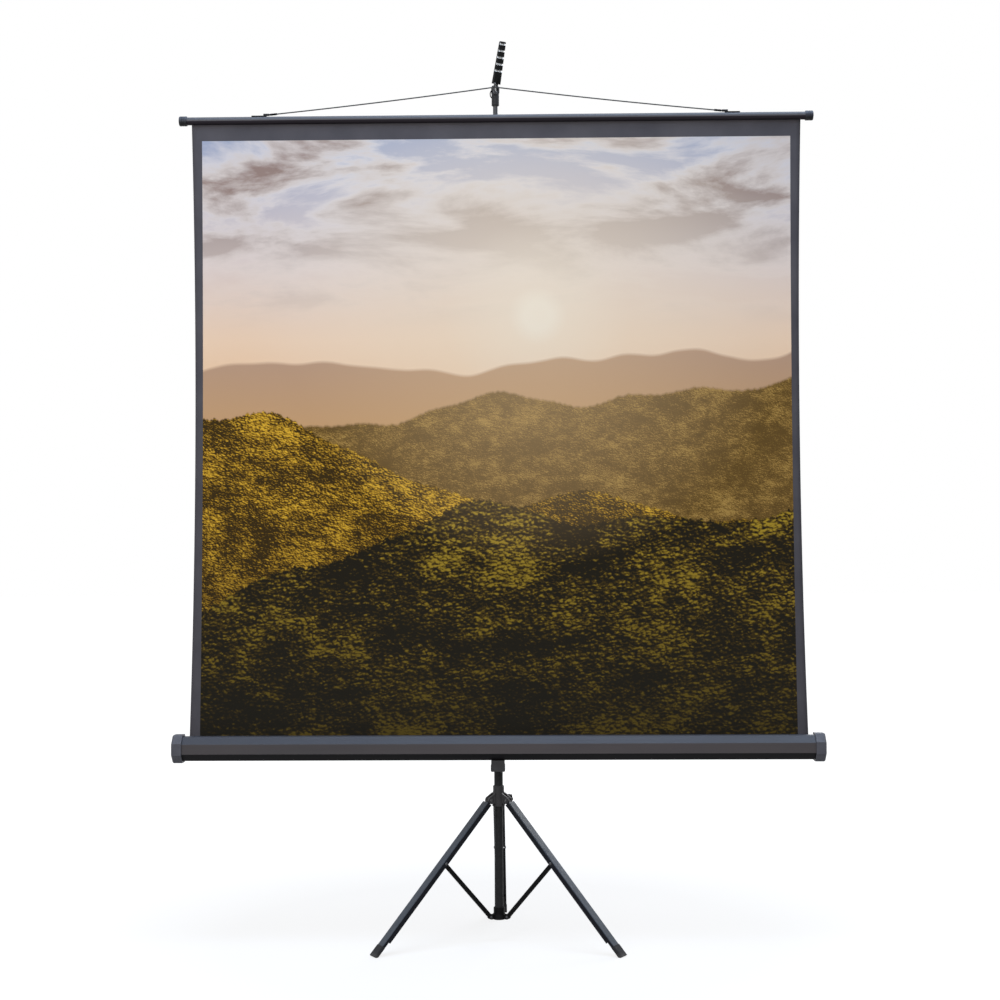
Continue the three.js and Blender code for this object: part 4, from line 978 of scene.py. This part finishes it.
def tripod():
    eased("hub", "leg_hub", LATCH_PLASTIC, 0.0009, 40, 2)
    eased("brace_ring", "foot_ring", DEEP_BLACK, 0.0007, 40, 2)
    eased("post_collar", "rod_collar", PLASTIC, 0.0008, 32, 2)
    for number in range(3):
        k = number + 1
        out, across = leg_direction(number)
        pivot = Vector((0, POST_Y, HUB_PIVOT_Z)) + out * PIVOT_RADIUS
        down = out * math.sin(LEG_LEAN) - Vector((0, 0, math.cos(LEG_LEAN)))
        joint = pivot + down * LINK
        foot = Vector((0, POST_Y, RING_PIVOT_Z)) + out * RING_PIVOT_RADIUS
        leg_bar(k, out)
        eased(f"leg_knuckle_{k}", f"leg_joint_{k}", PLASTIC, 0.0006, 40, 2)
        eased(f"leg_foot_{k}", f"leg_boot_{k}", RUBBER, 0.0011, 35, 3)
        eased(f"brace_{k}", f"brace_bar_{k}", DEEP_BLACK, 0.0008, 40, 2)
        heads = [rivet(0.0046, 0.0021, pivot + across * side * 0.0098, across * side) for side in (-1, 1)]
        set_down(gathered(heads), f"leg_rivets_{k}", "hub", [BLACKENED])
        heads = [rivet(0.0038, 0.0017, joint + across * side * LEG_WIDTH / 2, across * side) for side in (-1, 1)]
        set_down(gathered(heads), f"brace_rivets_{k}", f"leg_{k}", [BLACKENED])
        heads = [rivet(0.0034, 0.0015, foot + across * side * 0.0055, across * side) for side in (-1, 1)]
        set_down(gathered(heads), f"ring_rivets_{k}", "post", [BLACKENED])


tripod()


# Lock knobs

def knobs():
    for node, body, middle, direction, reach in (
        ("rod_knob", "rod_knob", (0, POST_Y, 1.2993), (0, 1, 0), 0.0343),
        ("carriage_knob", "carriage_knob", (0, POST_Y, 0.5225), (0, 1, 0), 0.0313),
        ("hub_knob", "hub_knob", (0, POST_Y, HUB_PIVOT_Z), (math.cos(math.radians(30)), math.sin(math.radians(30)), 0), 0.0353),
    ):
        eased(node, f"{node}_grip", KNOB_PLASTIC, 0.0013, 45, 3)
        tip = Vector(middle) + Vector(direction) * reach
        profile = [
            (0, 0.0006), (0.0030, 0.0007), (0.0052, 0.0012), (0.0064, 0.0013), (0.0072, 0.0009), (0.0075, 0.0), (0, 0),
        ]
        disc = placed(turned_shape(profile, 40), tip, direction)
        set_down(disc, f"{node}_disc", body, [PLASTIC])


knobs()


# Top of the rod: head, notched arm, hook and wire clips

def arm_frame():
    turn = Matrix.Rotation(ARM_TURN, 4, "Z") @ Matrix.Rotation(ARM_LEAN, 4, "X")
    return Matrix.Translation((0, POST_Y, ARM_PIVOT_Z)) @ turn


def notched_arm():
    """The arm, with white on the floors and walls of its notches."""
    shape = copy_of("keystone_arm")
    back = arm_frame().inverted()
    sunk = []
    for face in shape.faces:
        middle = back @ face.calc_center_median()
        facing = back.to_3x3() @ face.normal
        up_or_down = abs(facing.z) > 0.8 and 0.040 < middle.z < ARM_LENGTH - 0.002
        floor = facing.y < -0.8 and middle.y > -0.0035 and middle.z > 0.040
        if up_or_down or floor:
            sunk.append(face)
    for face in sunk:
        face.material_index = 1
    ease_edges(shape, 0.0003, 40, 2)
    set_down(shape, "notched_arm", "arm", [DEEP_BLACK, NOTCH_WHITE], ["keystone_arm"])


def top_pieces():
    eased("rod_head", "rod_fork", PLASTIC, 0.0007, 40, 2)
    notched_arm()
    pivot = Vector((0, POST_Y, ARM_PIVOT_Z))
    across = Vector((math.cos(ARM_TURN), math.sin(ARM_TURN), 0))
    heads = [rivet(0.0036, 0.0016, pivot + across * side * 0.0083, across * side) for side in (-1, 1)]
    set_down(gathered(heads), "arm_rivets", "rod", [BLACKENED])
    for side in ("left", "right"):
        eased(f"wire_clip_{side}", f"cable_clip_{side}", POST_PAINT, 0.0004, 40, 2)


top_pieces()


def hook():
    """A bent steel hook with a nut at its root and a rounded tip."""
    root, bend, reach = POST_Y - 0.010, SHEET_Y - 0.005, 0.010
    z = WIRE_TOP - WIRE_DIA / 2 - 0.0031
    shape = bmesh.new()
    ring = bmesh.ops.create_circle(shape, cap_ends=True, segments=20, radius=0.0025)["verts"]
    bmesh.ops.rotate(shape, verts=ring, cent=(0, 0, 0), matrix=Matrix.Rotation(math.pi / 2, 3, "X"))
    bmesh.ops.translate(shape, verts=ring, vec=(0, root, z))
    edges = list(shape.edges)
    grown = bmesh.ops.extrude_edge_only(shape, edges=edges)["geom"]
    corners = [g for g in grown if isinstance(g, bmesh.types.BMVert)]
    edges = [g for g in grown if isinstance(g, bmesh.types.BMEdge)]
    edges = [e for e in edges if all(v in corners for v in e.verts)]
    bmesh.ops.translate(shape, verts=corners, vec=(0, bend - root, 0))
    made = bmesh.ops.spin(
        shape, geom=corners + edges, cent=(0, bend, z + reach), axis=(1, 0, 0), dvec=(0, 0, 0),
        angle=-math.pi / 2, steps=12, use_merge=False, use_normal_flip=False, use_duplicate=False,
    )
    edges = [g for g in made["geom_last"] if isinstance(g, bmesh.types.BMEdge)]
    tip = Vector((0, bend - reach, z + reach))
    for rise, share in ((0.0006, 0.93), (0.0006, 0.78), (0.0005, 0.5)):
        grown = bmesh.ops.extrude_edge_only(shape, edges=edges)["geom"]
        edges = [g for g in grown if isinstance(g, bmesh.types.BMEdge)]
        corners = [g for g in grown if isinstance(g, bmesh.types.BMVert)]
        tip.z += rise
        bmesh.ops.translate(shape, verts=corners, vec=(0, 0, rise))
        bmesh.ops.scale(shape, vec=(share, share, 1), verts=corners, space=Matrix.Translation(-tip))
    bmesh.ops.edgeloop_fill(shape, edges=edges)
    bmesh.ops.recalc_face_normals(shape, faces=shape.faces)
    set_down(shape, "wire_hook", "rod", [BLACKENED], ["hanger_hook"], 50)
    nut = turned_shape([
        (0.0027, 0), (0.0046, 0), (0.0052, 0.0006), (0.0052, 0.0030), (0.0046, 0.0036), (0.0027, 0.0036),
    ], 6)
    set_down(placed(nut, (0, root, z), (0, -1, 0)), "hook_nut", "rod", [BLACKENED], (), 25)


hook()


def wire_keeper():
    """A small sprung wire loop beside the rod's fork, which keeps the hanger wire on its hook."""
    thick, bend, half_turn = 0.0026, 0.0142, math.radians(45)
    middle = Vector((0.0010, POST_Y, WIRE_TOP - 0.0060))
    shape = bmesh.new()
    ring = bmesh.ops.create_circle(shape, cap_ends=True, segments=14, radius=thick / 2)["verts"]
    bmesh.ops.translate(shape, verts=ring, vec=middle - Vector((bend, 0, 0)))
    bmesh.ops.rotate(shape, verts=ring, cent=middle, matrix=Matrix.Rotation(half_turn, 3, "Y"))
    bmesh.ops.spin(
        shape, geom=list(shape.verts) + list(shape.edges) + list(shape.faces), cent=middle, axis=(0, 1, 0),
        dvec=(0, 0, 0), angle=-2 * half_turn, steps=24, use_merge=False, use_normal_flip=False, use_duplicate=False,
    )
    bmesh.ops.recalc_face_normals(shape, faces=shape.faces)
    set_down(shape, "wire_keeper", "rod", [DEEP_BLACK], (), 50)


wire_keeper()
